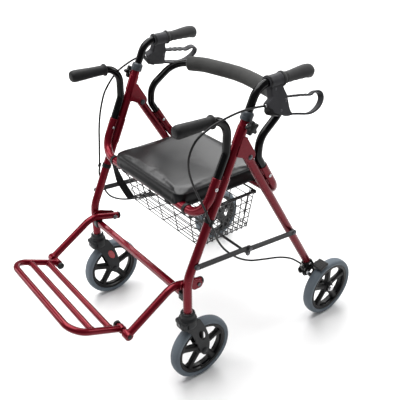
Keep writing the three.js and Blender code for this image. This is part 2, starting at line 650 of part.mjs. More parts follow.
function footplate() {
  const rear = at(188, FOOT_HINGE.y, FOOT_HINGE.z);
  const front = at(191, FOOT_FRONT.y, FOOT_FRONT.z);
  const frame = tube([rear, front, flip(front), flip(rear)], FOOT_TUBE_R, 48, 12);
  const bars = [0.22, 0.6].map((share) => {
    const p = rear.clone().lerp(front, share);
    return cylinder(p, flip(p), FOOT_BAR_R, 12);
  });
  const eyes = [1, -1].map((side) => crossPin(rear.y, rear.z, side * 179, side * 197, 11.5, 16));
  const holes = [1, -1].map((side) => crossPin(rear.y, rear.z, side * 170, side * 205, 6.8));
  return cut(join(frame, ...bars, ...eyes), ...holes);
}

// ---------------------------------------------------------------- brake cables
const LEFT_UPPER = [CABLE_EXIT, at(269.5, 50, 806), at(272.5, -12, 810), at(274.5, -70, 803.5),
  at(274.5, -113, 792), at(272.5, -149, 770.5), at(269, -166, 734), at(266, -165, 698),
  at(264, -153, 658), at(264, -136, 617), at(264.5, -120, 582), at(266.5, -106, 545),
  at(267.5, -97, 521)];
const LEFT_LOWER = [at(267.5, -96.5, 519.5), at(266.5, -84, 492), at(259, -70, 462), at(255, -44, 419),
  at(253, -11, 381), at(252, 23, 351), at(252, 66, 325), at(252, 121, 305), at(252, 190, 281),
  at(253, 239, 255), at(254.5, 272, 228), CABLE_END];
const RIGHT_UPPER = [CABLE_EXIT, at(268.5, 40, 802), at(269, 4, 790.5), at(268, -36, 770),
  at(267, -78, 724), at(265, -93, 693), at(264, -105, 652), at(263.5, -112, 610),
  at(264, -116, 560), at(266.5, -119, 510), at(267.5, -120, 486)].map(flip);
const RIGHT_LOWER = [at(267.5, -120, 484.5), at(267.5, -124, 458), at(265, -122, 438),
  at(258.5, -117, 414), at(256.5, -112, 392), at(254, -98, 370), at(252, -69, 350), at(252, -33, 336),
  at(252, 5, 327), at(252, 44, 319), at(252, 120, 303), at(252, 190, 281), at(253, 239, 255),
  at(254.5, 272, 228), CABLE_END].map(flip);

const cable = (route, steps) => sweep(new THREE.CatmullRomCurve3(route), ring(CABLE_R, 8), steps);

// ---------------------------------------------------------------- assembly
const finish = (color, roughness, metalness) => (
  new THREE.MeshStandardMaterial({ color, roughness, metalness }));

const material = {
  redPaint: finish(0x7d0f22, 0.3, 0.45),
  blackPaint: finish(0x101011, 0.25, 0.2),
  blackPlastic: finish(0x1c1c1e, 0.55, 0),
  greyPlastic: finish(0x3c3c3f, 0.5, 0),
  rubber: finish(0x2a2a2c, 0.85, 0),
  tyre: finish(0x66707a, 0.7, 0),
  vinyl: finish(0x1b1b1d, 0.45, 0),
  wire: finish(0x151516, 0.35, 0.3),
  webbing: finish(0x161617, 0.9, 0),
};

const walker = new THREE.Group();

function add(name, geometry, look) {
  const mesh = new THREE.Mesh(tidy(geometry), look);
  mesh.name = name;
  walker.add(mesh);
}

function addPair(name, geometry, look) {
  add(`${name}_left`, geometry, look);
  add(`${name}_right`, mirrored(geometry), look);
}

addPair('main_leg', mainLeg(), material.redPaint);
addPair('leg_collar', legCollar(), material.blackPlastic);
addPair('fold_gusset', gusset(), material.redPaint);
add('front_seat_tube', seatTube(frontSocketPoint, FRONT_SOCKET_TOP, FRONT_CROSS_Z,
  FRONT_SOCKET_BORE), material.redPaint);
add('lower_crossbar', lowerCrossbar(), material.redPaint);
addPair('crossbar_clamp', crossbarClamp(), material.blackPlastic);
addPair('footrest_bracket', footrestBracket(), material.redPaint);

addPair('rear_leg', rearLeg(), material.redPaint);
add('rear_seat_tube', seatTube(rearSocketPoint, REAR_SOCKET_TOP, REAR_CROSS_Z,
  REAR_SOCKET_BORE), material.redPaint);
addPair('brake_bracket', brakeBracket(), material.blackPlastic);
addPair('brake_shoe', brakeShoe(), material.blackPlastic);

add('front_struts', frontStruts(), material.blackPaint);
addPair('rear_strut', rearStrut(), material.blackPaint);

add('seat_pan', seatPan(), material.blackPlastic);
add('seat_cushion', seatCushion(), material.vinyl);
add('basket', basket(), material.wire);
add('fold_strap', foldStrap(), material.webbing);

addPair('handle_tube', handleTube(), material.blackPaint);
addPair('push_grip', pushGrip(), material.rubber);
addPair('brake_housing', brakeHousing(), material.greyPlastic);
addPair('brake_lever', brakeLever(), material.greyPlastic);
addPair('star_knob', starKnob(), material.blackPlastic);

addPair('armrest_tube', armrestTube(), material.blackPaint);
addPair('armrest_grip', armrestGrip(), material.rubber);
add('backrest_bar', backrestBar(), material.blackPaint);
add('backrest_pad', backrestPad(), material.rubber);

addPair('caster_fork', casterFork(), material.blackPlastic);
addPair('front_rim', rim(FRAME_X, CASTER_AXLE), material.blackPlastic);
addPair('front_tyre', tyre(FRAME_X, CASTER_AXLE), material.tyre);
addPair('rear_rim', rim(REAR_WHEEL_X, REAR_AXLE), material.blackPlastic);
addPair('rear_tyre', tyre(REAR_WHEEL_X, REAR_AXLE), material.tyre);

addPair('footrest_arm', footrestArm(), material.redPaint);
add('footplate', footplate(), material.redPaint);

add('cable_upper_left', cable(LEFT_UPPER, 26), material.webbing);
add('cable_lower_left', cable(LEFT_LOWER, 28), material.webbing);
add('cable_upper_right', cable(RIGHT_UPPER, 24), material.webbing);
add('cable_lower_right', cable(RIGHT_LOWER, 30), material.webbing);

export default walker;
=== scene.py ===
import math
import random

import bmesh
import bpy
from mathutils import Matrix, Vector
from mathutils.bvhtree import BVHTree


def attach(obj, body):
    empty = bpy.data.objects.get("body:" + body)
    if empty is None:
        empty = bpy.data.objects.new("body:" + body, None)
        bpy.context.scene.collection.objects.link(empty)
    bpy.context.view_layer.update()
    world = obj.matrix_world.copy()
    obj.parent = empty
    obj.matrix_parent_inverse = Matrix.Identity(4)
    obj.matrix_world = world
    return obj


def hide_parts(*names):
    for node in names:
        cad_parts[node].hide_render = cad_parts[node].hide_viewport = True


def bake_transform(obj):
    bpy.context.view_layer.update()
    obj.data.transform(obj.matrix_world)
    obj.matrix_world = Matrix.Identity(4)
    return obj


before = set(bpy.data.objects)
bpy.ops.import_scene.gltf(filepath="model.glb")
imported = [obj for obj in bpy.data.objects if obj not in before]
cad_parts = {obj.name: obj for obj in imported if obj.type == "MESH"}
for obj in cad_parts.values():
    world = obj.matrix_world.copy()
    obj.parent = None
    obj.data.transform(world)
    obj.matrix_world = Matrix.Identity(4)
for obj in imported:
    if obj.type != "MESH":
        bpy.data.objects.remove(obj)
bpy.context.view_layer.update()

# ---------------------------------------------------------------- camera
CAMERA_PLACE = (1.255, -0.907, 1.339)
CAMERA_BACK = Vector((0.6800, -0.5332, 0.5045)).normalized()
FOCAL_PIXELS = 590.5
IMAGE_PIXELS = 400

camera_data = bpy.data.cameras.new("camera")
camera_data.sensor_width = 36
camera_data.lens = 36 * FOCAL_PIXELS / IMAGE_PIXELS
camera = bpy.data.objects.new("camera", camera_data)
camera.location = CAMERA_PLACE
camera.rotation_mode = "QUATERNION"
camera.rotation_quaternion = (-CAMERA_BACK).to_track_quat("-Z", "Y")
bpy.context.scene.collection.objects.link(camera)
bpy.context.scene.camera = camera

# ---------------------------------------------------------------- frame dimensions, in millimetres
MM = 0.001
FRAME_X = 250
TUBE_R = 12.7
ROD_R = 11
BORE_R = 11.5
LEG_Y = -162
LEG_FOOT_Z = 254
LEG_BEND_Z = 357
LEG_TOP_Z = 780
KNOB_Z = 761
LEG_LEAN = 0.45
FOLD_PIVOT = Vector((0, 33, 672))
REAR_AXLE = Vector((0, 386, 100))
REAR_WHEEL_X = 289
CASTER_AXLE = Vector((0, -119, 100))
SOCKET_OFFSET = 25.7
HANDLE_Z = 853
GRIP_START_Y = 137
HOUSING_TILT = 20
FOOT_ARM_X = 221
FOOT_PIVOT = Vector((0, -112, 315.7))
FOOT_HINGE = Vector((0, -338, 246))
FOOT_FRONT = Vector((0, -476.5, 308.5))
SIDES = ((1, "left"), (-1, "right"))


def vec(x, y, z):
    return Vector((x, y, z))


def flip(p):
    return Vector((-p.x, p.y, p.z))


FRONT_LEAN = vec(0, LEG_LEAN, 1).normalized()
REAR_LEAN = (REAR_AXLE - FOLD_PIVOT).normalized()
FRONT_SHIFT = vec(0, -FRONT_LEAN.z, FRONT_LEAN.y) * SOCKET_OFFSET
REAR_SHIFT = vec(0, -REAR_LEAN.z, REAR_LEAN.y) * SOCKET_OFFSET


def front_leg(z):
    return vec(FRAME_X, LEG_Y + LEG_LEAN * (z - LEG_BEND_Z), z)


def front_socket(z):
    return front_leg(z - FRONT_SHIFT.z) + FRONT_SHIFT


def rear_leg(z):
    return vec(FRAME_X, 0, 0) + FOLD_PIVOT + REAR_LEAN * ((z - FOLD_PIVOT.z) / REAR_LEAN.z)


def rear_socket(z):
    return rear_leg(z - REAR_SHIFT.z) + REAR_SHIFT


FRONT_CROSS_Z = 533
HINGE = front_socket(FRONT_CROSS_Z)


# ---------------------------------------------------------------- shapes: (vertices in mm, faces)
def bent(corners, radii, steps=14):
    """Polyline whose corners are rounded by arcs."""
    points = [corners[0]]
    for i in range(1, len(corners) - 1):
        radius = radii[i - 1] if isinstance(radii, (list, tuple)) else radii
        along = (corners[i] - corners[i - 1]).normalized()
        leaving = (corners[i + 1] - corners[i]).normalized()
        angle = along.angle(leaving)
        inward = (leaving - along * leaving.dot(along)).normalized()
        start = corners[i] - along * radius * math.tan(angle / 2)
        count = max(2, round(steps * angle / (math.pi / 2)))
        for k in range(count + 1):
            turn = angle * k / count
            points.append(start + along * radius * math.sin(turn)
                          + inward * radius * (1 - math.cos(turn)))
    points.append(corners[-1])
    return points


def spline(points, per_span=6, closed=False):
    """Centripetal Catmull-Rom curve through the points."""
    count = len(points)
    if closed:
        ring = [points[-1], *points, points[0], points[1]]
        spans = count
    else:
        ring = [points[0] * 2 - points[1], *points, points[-1] * 2 - points[-2]]
        spans = count - 1
    made = []
    for i in range(spans):
        p = ring[i:i + 4]
        t = [0.0]
        for a, b in zip(p, p[1:]):
            t.append(t[-1] + math.sqrt((b - a).length))
        for k in range(per_span):
            x = t[1] + (t[2] - t[1]) * k / per_span
            mix = lambda a, b, ta, tb: a * ((tb - x) / (tb - ta)) + b * ((x - ta) / (tb - ta))
            a1, a2, a3 = (mix(p[n], p[n + 1], t[n], t[n + 1]) for n in range(3))
            b1, b2 = mix(a1, a2, t[0], t[2]), mix(a2, a3, t[1], t[3])
            made.append(mix(b1, b2, t[1], t[2]))
    if not closed:
        made.append(points[-1])
    return made


def circle(radius, sides=28):
    return [(radius * math.cos(2 * math.pi * i / sides), radius * math.sin(2 * math.pi * i / sides))
            for i in range(sides)]


def frames(path, up=None, closed=False):
    """At each point of the path, the two directions across it, carried along without twist."""
    count = len(path)
    tangents = []
    for i in range(count):
        if closed:
            ahead, behind = path[(i + 1) % count], path[i - 1]
        else:
            ahead, behind = path[min(i + 1, count - 1)], path[max(i - 1, 0)]
        tangents.append((ahead - behind).normalized())
    first = up or (vec(0, 0, 1) if abs(tangents[0].z) < 0.9 else vec(0, 1, 0))
    across = tangents[0].cross(first).normalized()
    made = []
    for tangent in tangents:
        across = (up.cross(tangent) * -1 if up else across - tangent * across.dot(tangent)).normalized()
        made.append((across, across.cross(tangent).normalized(), tangent))
    return made


def loft(rings, closed=False):
    """Skin over rings that have the same number of points."""
    size = len(rings[0])
    verts = [p for ring in rings for p in ring]
    faces = []
    spans = len(rings) if closed else len(rings) - 1
    for i in range(spans):
        a, b = i * size, ((i + 1) % len(rings)) * size
        faces += [(a + k, a + (k + 1) % size, b + (k + 1) % size, b + k) for k in range(size)]
    if not closed:
        faces.append(tuple(range(size - 1, -1, -1)))
        faces.append(tuple(range(len(verts) - size, len(verts))))
    return verts, faces


def sweep(path, section, up=None, closed=False, scale=None):
    rings = []
    for i, (p, (across, above, _)) in enumerate(zip(path, frames(path, up, closed))):
        k = scale(i / (len(path) - 1)) if scale else 1
        rings.append([p + across * (a * k) + above * (b * k) for a, b in section])
    return loft(rings, closed=closed)


def tube(corners, radius, bends=0, sides=28, mouths=(), depth=40):
    """Bent tube with eased ends. mouths says which ends, 0 and 1, are open, as deep as depth."""
    path = bent(corners, bends) if len(corners) > 2 else list(corners)
    ease = min(0.8, radius * 0.2)
    rings = []
    for end, (p, inner) in enumerate(((path[0], path[1]), (path[-1], path[-2]))):
        inward = (inner - p).normalized()
        rows = [(radius - ease, 0), (radius, ease)]
        if end in mouths:
            rows = [(BORE_R, depth), (BORE_R, ease * 0.5), (BORE_R + ease * 0.5, 0)] + rows
        rings.append([(p + inward * d, r) for r, d in rows])
    middle = [(p, radius) for p in path[1:-1]]
    line = rings[0] + middle + rings[1][::-1]
    directions = frames(path)
    count = len(rings[0])
    made = []
    for i, (p, r) in enumerate(line):
        j = min(max(i - count + 1, 0), len(path) - 1)
        across, above, _ = directions[j]
        made.append([p + across * (r * a) + above * (r * b) for a, b in circle(1, sides)])
    return loft(made)


def lathe(profile, origin, axis, segments=48, closed=False):
    """Profile points are (radius, distance along the axis)."""
    axis = axis.normalized()
    side = axis.cross(vec(0, 0, 1) if abs(axis.z) < 0.9 else vec(0, 1, 0)).normalized()
    up = axis.cross(side)
    verts, faces = [], []
    for r, h in profile:
        for k in range(segments):
            turn = 2 * math.pi * k / segments
            verts.append(origin + axis * h + side * (r * math.cos(turn)) + up * (r * math.sin(turn)))
    spans = len(profile) if closed else len(profile) - 1
    for i in range(spans):
        a, b = i * segments, ((i + 1) % len(profile)) * segments
        faces += [(a + k, a + (k + 1) % segments, b + (k + 1) % segments, b + k)
                  for k in range(segments)]
    return verts, faces


def flat(outline, holes=(), thickness=3.0, bevel=0.6, origin=None, axes=None):
    """Plate with rounded edges. Points are (a, b) along the first two axes; it starts at 0 on the third."""
    data = bpy.data.curves.new("outline", "CURVE")
    data.dimensions = "2D"
    data.fill_mode = "BOTH"
    data.extrude = thickness / 2 - bevel
    data.bevel_depth = bevel
    data.bevel_resolution = 2
    data.offset = -bevel
    for ring in (outline, *holes):
        s = data.splines.new("POLY")
        s.points.add(len(ring) - 1)
        for point, (a, b) in zip(s.points, ring):
            point.co = (a, b, 0, 1)
        s.use_cyclic_u = True
    holder = bpy.data.objects.new("outline", data)
    mesh = holder.to_mesh()
    bm = bmesh.new()
    bm.from_mesh(mesh)
    bmesh.ops.remove_doubles(bm, verts=bm.verts, dist=0.01)
    origin = origin or vec(0, 0, 0)
    first, second, third = axes or (vec(0, 1, 0), vec(0, 0, 1), vec(1, 0, 0))
    verts = [origin + first * v.co.x + second * v.co.y + third * (v.co.z + thickness / 2)
             for v in bm.verts]
    bm.verts.index_update()
    faces = [tuple(v.index for v in f.verts) for f in bm.faces]
    bm.free()
    holder.to_mesh_clear()
    bpy.data.objects.remove(holder)
    bpy.data.curves.remove(data)
    return verts, faces


XY_AXES = (vec(1, 0, 0), vec(0, 1, 0), vec(0, 0, 1))


def plate_x(outline, x0, x1, holes=(), bevel=0.6):
    """Plate between two x planes; its outline is (y, z) points."""
    low, high = min(x0, x1), max(x0, x1)
    return flat(outline, holes, high - low, bevel, vec(low, 0, 0))


def rounded(points, radius, steps=5):
    """Closed outline with its corners rounded off, as (a, b) points."""
    count = len(points)
    made = []
    for i in range(count):
        before, corner, after = (Vector(points[(i + k - 1) % count]) for k in range(3))
        one, two = (before - corner), (after - corner)
        reach = min(radius, one.length * 0.45, two.length * 0.45)
        start, end = corner + one.normalized() * reach, corner + two.normalized() * reach
        for k in range(steps + 1):
            t = k / steps
            p = start * (1 - t) ** 2 + corner * (2 * t * (1 - t)) + end * t ** 2
            made.append((p.x, p.y))
    return made


BAR_END_STEPS = 10


def bar_outline(a, b, half):
    """Bar with round ends between two points, as (a, b) points."""
    heading = math.atan2(b[1] - a[1], b[0] - a[0])
    made = []
    for end, first in ((a, heading + math.pi / 2), (b, heading - math.pi / 2)):
        for k in range(BAR_END_STEPS + 1):
            angle = first + math.pi * k / BAR_END_STEPS
            made.append((end[0] + half * math.cos(angle), end[1] + half * math.sin(angle)))
    return made


def pin(p, q, radius, sides=24):
    """Straight pin with eased ends."""
    length = (q - p).length
    ease = min(0.5, radius * 0.4, length * 0.3)
    profile = [(0, 0), (radius - ease, 0), (radius, ease), (radius, length - ease),
               (radius - ease, length), (0, length)]
    return lathe(profile, p, q - p, sides)


def pin_x(y, z, x0, x1, radius):
    return pin(vec(x0, y, z), vec(x1, y, z), radius)


def dome(p, axis, radius, height, sides=24):
    """Rivet or screw head: a shallow dome on a short rim."""
    rows = [(radius, 0), (radius, height * 0.3)]
    for k in range(1, 6):
        t = k / 5 * math.pi / 2
        rows.append((radius * math.cos(t), height * (0.3 + 0.7 * math.sin(t))))
    return lathe([(0, 0)] + rows, p, axis, sides)


def hexagon(p, axis, radius, height):
    profile = [(0, 0), (radius * 0.92, 0), (radius, height * 0.15), (radius, height * 0.8),
               (radius * 0.86, height), (radius * 0.5, height), (radius * 0.48, height * 0.8),
               (0, height * 0.8)]
    return lathe(profile, p, axis, 6)


def washer(p, axis, inner, outer, height):
    return lathe([(inner, 0), (outer, 0), (outer, height), (inner, height)], p, axis, 32, closed=True)


def tilted(shape):
    """The brake set is drawn upright and swung outboard about the handle tube."""
    turn = math.radians(HOUSING_TILT)
    verts = []
    for p in shape[0]:
        dx, dz = p.x - FRAME_X, p.z - HANDLE_Z
        verts.append(vec(FRAME_X + dx * math.cos(turn) - dz * math.sin(turn), p.y,
                         HANDLE_Z + dx * math.sin(turn) + dz * math.cos(turn)))
    return verts, shape[1]


# ---------------------------------------------------------------- pieces
def make(name, shapes, body, material, replaces=(), slot=None, sharp=42, mirror=False, welded=True):
    """One object in metres from several shapes in millimetres, riding on its CAD body."""
    bm = bmesh.new()
    for verts, faces in shapes:
        made = [bm.verts.new((-p.x if mirror else p.x, p.y, p.z)) for p in verts]
        for f in faces:
            corners = [made[i] for i in f]
            if len(set(corners)) > 2:
                bm.faces.new(corners)
        if welded:
            bmesh.ops.remove_doubles(bm, verts=made, dist=0.004)
    bmesh.ops.dissolve_degenerate(bm, edges=bm.edges, dist=0.0005)
    bmesh.ops.recalc_face_normals(bm, faces=bm.faces)
    bmesh.ops.scale(bm, vec=(MM, MM, MM), verts=bm.verts)
    mesh = bpy.data.meshes.new(name)
    bm.to_mesh(mesh)
    bm.free()
    mesh.shade_smooth()
    mesh.set_sharp_from_angle(angle=math.radians(sharp))
    obj = bpy.data.objects.new(name, mesh)
    bpy.context.scene.collection.objects.link(obj)
    mesh.materials.append(material)
    weighted = obj.modifiers.new("weighted", "WEIGHTED_NORMAL")
    weighted.keep_sharp = True
    if body:
        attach(obj, body)
    if replaces:
        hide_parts(*replaces)
    return obj


def pair(name, shapes, body, material, replaces=(), slot=None, **more):
    """The left piece and its mirror image. {} in a body's name stands for the side."""
    for sign, side in SIDES:
        make(f"{name}_{side}", shapes, body.format(side), material,
             [f"{n}_{side}" for n in replaces], slot, mirror=sign < 0, **more)


# ---------------------------------------------------------------- materials
GRAIN_DEPTH = 0.0003  # metres


def ramp_node(tree, source, stops):
    ramp = tree.nodes.new("ShaderNodeValToRGB")
    elements = ramp.color_ramp.elements
    while len(elements) < len(stops):
        elements.new(0.5)
    for element, (place, colour) in zip(elements, stops):
        element.position = place
        element.color = (*colour, 1) if isinstance(colour, tuple) else (colour, colour, colour, 1)
    tree.links.new(source, ramp.inputs["Fac"])
    return ramp.outputs["Color"]


def noise_node(tree, coords, scale, detail=4.0, roughness=0.55):
    noise = tree.nodes.new("ShaderNodeTexNoise")
    noise.inputs["Scale"].default_value = scale
    noise.inputs["Detail"].default_value = detail
    noise.inputs["Roughness"].default_value = roughness
    tree.links.new(coords, noise.inputs["Vector"])
    return noise.outputs["Fac"]


def mix_node(tree, factor, a, b):
    mix = tree.nodes.new("ShaderNodeMix")
    mix.data_type = "RGBA"
    tree.links.new(factor, mix.inputs["Factor"])
    tree.links.new(a, mix.inputs["A"])
    tree.links.new(b, mix.inputs["B"])
    return mix.outputs["Result"]


def grain_height(tree, coords, kind, scale):
    """Height of the fine surface: moulded stipple, pores, leather cells, weave or brushed lines."""
    if kind == "stipple":
        return noise_node(tree, coords, scale, 2.0, 0.6)
    if kind in ("pores", "leather"):
        cells = tree.nodes.new("ShaderNodeTexVoronoi")
        cells.feature = "F1" if kind == "pores" else "DISTANCE_TO_EDGE"
        cells.inputs["Scale"].default_value = scale
        tree.links.new(coords, cells.inputs["Vector"])
        limit = 0.5 if kind == "pores" else 0.12
        return ramp_node(tree, cells.outputs["Distance"], [(0.0, 0.0), (limit, 1.0)])
    waves = []
    for axis in ("X", "Z") if kind == "weave" else ("Z",):
        wave = tree.nodes.new("ShaderNodeTexWave")
        wave.bands_direction = axis
        wave.inputs["Scale"].default_value = scale
        wave.inputs["Distortion"].default_value = 0.4 if kind == "weave" else 3.0
        tree.links.new(coords, wave.inputs["Vector"])
        waves.append(wave.outputs["Fac"])
    if len(waves) == 1:
        return waves[0]
    product = tree.nodes.new("ShaderNodeMath")
    product.operation = "MULTIPLY"
    tree.links.new(waves[0], product.inputs[0])
    tree.links.new(waves[1], product.inputs[1])
    return product.outputs["Value"]


def finish(name, dark, light, rough, metallic=0.0, coat=0.0, coat_rough=0.05, kind="stipple", grain=0.1,
           grain_scale=900, patch=14, fleck=None, scuff=None, scuff_at=0.62, sheen=0.0, specular=0.5):
    """Colour drifts from dark to light in patches, roughness varies, and scuffs dull it here and there."""
    material = bpy.data.materials.new(name)
    material.use_nodes = True
    tree = material.node_tree
    shader = tree.nodes["Principled BSDF"]
    coords = tree.nodes.new("ShaderNodeTexCoord").outputs["Object"]
    colour = ramp_node(tree, noise_node(tree, coords, patch), [(0.3, dark), (0.7, light)])
    if fleck:
        fine = noise_node(tree, coords, 1900, 1.0)
        flecks = ramp_node(tree, fine, [(0.0, dark), (1.0, fleck)])
        mask = ramp_node(tree, fine, [(0.55, 0.0), (0.75, 0.55)])
        colour = mix_node(tree, mask, colour, flecks)
    rough_source = noise_node(tree, coords, patch * 3.1, 6.0, 0.65)
    if scuff:
        marks = noise_node(tree, coords, patch * 5.3, 9.0, 0.72)
        wear = ramp_node(tree, marks, [(scuff_at, 0.0), (scuff_at + 0.12, 0.5)])
        worn = ramp_node(tree, rough_source, [(0.3, scuff), (0.8, tuple(min(1, c * 1.4) for c in scuff))])
        colour = mix_node(tree, wear, colour, worn)
    tree.links.new(colour, shader.inputs["Base Color"])
    tree.links.new(ramp_node(tree, rough_source, [(0.3, rough[0]), (0.75, rough[1])]),
                   shader.inputs["Roughness"])
    bump = tree.nodes.new("ShaderNodeBump")
    bump.inputs["Strength"].default_value = grain
    bump.inputs["Distance"].default_value = GRAIN_DEPTH
    tree.links.new(grain_height(tree, coords, kind, grain_scale), bump.inputs["Height"])
    tree.links.new(bump.outputs["Normal"], shader.inputs["Normal"])
    shader.inputs["Metallic"].default_value = metallic
    shader.inputs["Coat Weight"].default_value = coat
    shader.inputs["Coat Roughness"].default_value = coat_rough
    shader.inputs["Sheen Weight"].default_value = sheen
    shader.inputs["Sheen Roughness"].default_value = 0.5
    shader.inputs["Specular IOR Level"].default_value = specular
    return material


RED = finish("red_paint", (0.125, 0.0012, 0.008), (0.17, 0.0018, 0.011), (0.20, 0.30), metallic=0.5,
             coat=0.17, coat_rough=0.06, grain=0.015, grain_scale=1500, patch=6, fleck=(0.24, 0.006, 0.02),
             scuff=(0.11, 0.008, 0.013), scuff_at=0.72, specular=0.2)
WELD = finish("weld_paint", (0.10, 0.0012, 0.008), (0.14, 0.0017, 0.010), (0.3, 0.45), metallic=0.5,
              coat=0.25, grain=0.4, grain_scale=500, patch=60, specular=0.2)
BLACK_TUBE = finish("black_gloss", (0.0012, 0.0012, 0.0014), (0.0026, 0.0026, 0.003), (0.09, 0.15), coat=0.07,
                    coat_rough=0.04, grain=0.012, grain_scale=1200, patch=9, scuff=(0.02, 0.02, 0.021),
                    scuff_at=0.74, specular=0.18)
BLACK_PLASTIC = finish("black_plastic", (0.0035, 0.0035, 0.004), (0.007, 0.007, 0.0078), (0.34, 0.5),
                       grain=0.15, grain_scale=1400, patch=18, scuff=(0.03, 0.03, 0.032), scuff_at=0.70,
                       specular=0.24)
CHARCOAL = finish("charcoal_plastic", (0.009, 0.010, 0.011), (0.015, 0.016, 0.018), (0.40, 0.56),
                  grain=0.2, grain_scale=1300, patch=20, scuff=(0.045, 0.045, 0.048), scuff_at=0.70,
                  specular=0.26)
STRUT_COAT = finish("strut_coat", (0.018, 0.018, 0.020), (0.027, 0.027, 0.030), (0.36, 0.5), grain=0.12,
                    grain_scale=1200, patch=16, scuff=(0.06, 0.06, 0.062), scuff_at=0.72, specular=0.3)
COLLAR = finish("collar_plastic", (0.035, 0.042, 0.050), (0.055, 0.064, 0.074), (0.28, 0.42), grain=0.15,
                grain_scale=1300, patch=20, scuff=(0.12, 0.13, 0.14), scuff_at=0.70, specular=0.4)
GREY_PLASTIC = finish("grey_plastic", (0.033, 0.033, 0.037), (0.044, 0.044, 0.049), (0.48, 0.62),
                      grain=0.2, grain_scale=1500, patch=22, scuff=(0.07, 0.07, 0.075), scuff_at=0.72,
                      specular=0.2)
RUBBER = finish("grip_rubber", (0.033, 0.033, 0.034), (0.045, 0.045, 0.046), (0.6, 0.78), grain=0.45,
                grain_scale=1100, patch=25, sheen=0.04, scuff=(0.05, 0.05, 0.052), scuff_at=0.70,
                specular=0.22)
DARK_RUBBER = finish("arm_rubber", (0.0045, 0.0045, 0.005), (0.008, 0.008, 0.0088), (0.5, 0.68), grain=0.45,
                     grain_scale=1100, patch=25, sheen=0.03, scuff=(0.03, 0.03, 0.031), scuff_at=0.70,
                     specular=0.24)
FOAM = finish("foam", (0.034, 0.034, 0.033), (0.046, 0.046, 0.0446), (0.78, 0.92), kind="pores", grain=0.5,
              grain_scale=850, patch=16, sheen=0.08, specular=0.2)
TYRE = finish("tyre_rubber", (0.095, 0.118, 0.140), (0.135, 0.162, 0.188), (0.5, 0.68), grain=0.25,
              grain_scale=700, patch=12, scuff=(0.24, 0.27, 0.29), scuff_at=0.68, specular=0.3)
RIM_BLACK = finish("rim_nylon", (0.0022, 0.0022, 0.0027), (0.005, 0.005, 0.0056), (0.28, 0.42), grain=0.12,
                   grain_scale=1200, patch=20, scuff=(0.03, 0.03, 0.033), scuff_at=0.72, specular=0.22)
VINYL = finish("seat_vinyl", (0.005, 0.005, 0.0056), (0.009, 0.009, 0.0098), (0.29, 0.33), kind="leather",
               grain=0.03, grain_scale=620, patch=7, coat=0.04, coat_rough=0.35, specular=0.38)
# Painted shade: the cushion's walls are the same vinyl as the top, but get a darker, duller copy of it so the
# sides read darker than the top.
SHADED_WALL_VINYL = finish("seat_wall_painted_shade_vinyl", (0.004, 0.004, 0.0045), (0.007, 0.007, 0.0076), (0.3, 0.4),
                    kind="leather", grain=0.05, grain_scale=620, patch=7, specular=0.16)
PIPING = finish("seat_piping", (0.005, 0.005, 0.0056), (0.009, 0.009, 0.0098), (0.32, 0.45), kind="leather",
                grain=0.2, grain_scale=900, patch=20, specular=0.3)
BOARD = finish("seat_board", (0.004, 0.004, 0.0045), (0.009, 0.009, 0.0098), (0.5, 0.7), grain=0.3,
               grain_scale=500, patch=16, scuff=(0.04, 0.04, 0.04), scuff_at=0.68, specular=0.22)
WIRE = finish("dipped_wire", (0.016, 0.016, 0.017), (0.027, 0.027, 0.028), (0.28, 0.42), coat=0.15,
              grain=0.08, grain_scale=900, patch=30, specular=0.35)
WEBBING = finish("webbing", (0.0025, 0.0025, 0.003), (0.007, 0.007, 0.0078), (0.75, 0.9), kind="weave",
                 grain=0.8, grain_scale=260, patch=40, sheen=0.06, specular=0.15)
CABLE = finish("cable_sleeve", (0.004, 0.004, 0.0045), (0.008, 0.008, 0.009), (0.34, 0.48), grain=0.05,
               grain_scale=900, patch=30, specular=0.25)
STEEL = finish("bright_steel", (0.55, 0.55, 0.56), (0.74, 0.74, 0.75), (0.2, 0.38), metallic=1.0,
               kind="brushed", grain=0.08, grain_scale=400, patch=70, scuff=(0.25, 0.24, 0.23),
               scuff_at=0.66)
DARK_STEEL = finish("dark_steel", (0.08, 0.08, 0.09), (0.16, 0.16, 0.17), (0.3, 0.48), metallic=0.9,
                    kind="brushed", grain=0.1, grain_scale=500, patch=60)
RED_INSERT = finish("red_insert", (0.30, 0.006, 0.012), (0.38, 0.010, 0.018), (0.25, 0.36), coat=0.4,
                    grain=0.05, grain_scale=900, patch=30)

# ---------------------------------------------------------------- front frame
weld_random = random.Random(11)


def weld(points, radius):
    """A row of overlapping ripples along a seam."""
    path = spline(points, 8)
    ripples = [radius * (0.82 + 0.18 * abs(math.sin(i * 1.3)) + 0.05 * weld_random.random())
               for i in range(len(path))]
    ripples[0] = ripples[-1] = radius * 0.3
    rings = []
    for p, (across, above, _), r in zip(path, frames(path), ripples):
        rings.append([p + across * (r * a) + above * (r * b) for a, b in circle(1, 10)])
    return loft(rings)


def socket_welds(leg, shift, spans):
    """Seams down both sides of the line where a socket lies against its leg."""
    shapes = []
    for z0, z1 in spans:
        for x in (-5.2, 5.2):
            line = [leg(z0 + (z1 - z0) * k / 3) + shift * 0.5 + vec(x, 0, 0) for k in range(4)]
            shapes.append(weld(line, 2.4))
    return shapes


knob = front_leg(KNOB_Z)
pair("front_leg", [
    tube([vec(FRAME_X, LEG_Y, LEG_FOOT_Z), vec(FRAME_X, LEG_Y, LEG_BEND_Z), front_leg(LEG_TOP_Z)],
         TUBE_R, 110, sides=36, mouths=(1,), depth=120),
    lathe([(0, 0), (8.4, 0), (7.2, 1.2), (6.5, 2.2), (6.5, 7.0), (6.0, 7.1), (0, 7.1)],
          knob + vec(9, 0, 0), vec(1, 0, 0), 28),
], "frame", RED, ["main_leg"], "red_paint")

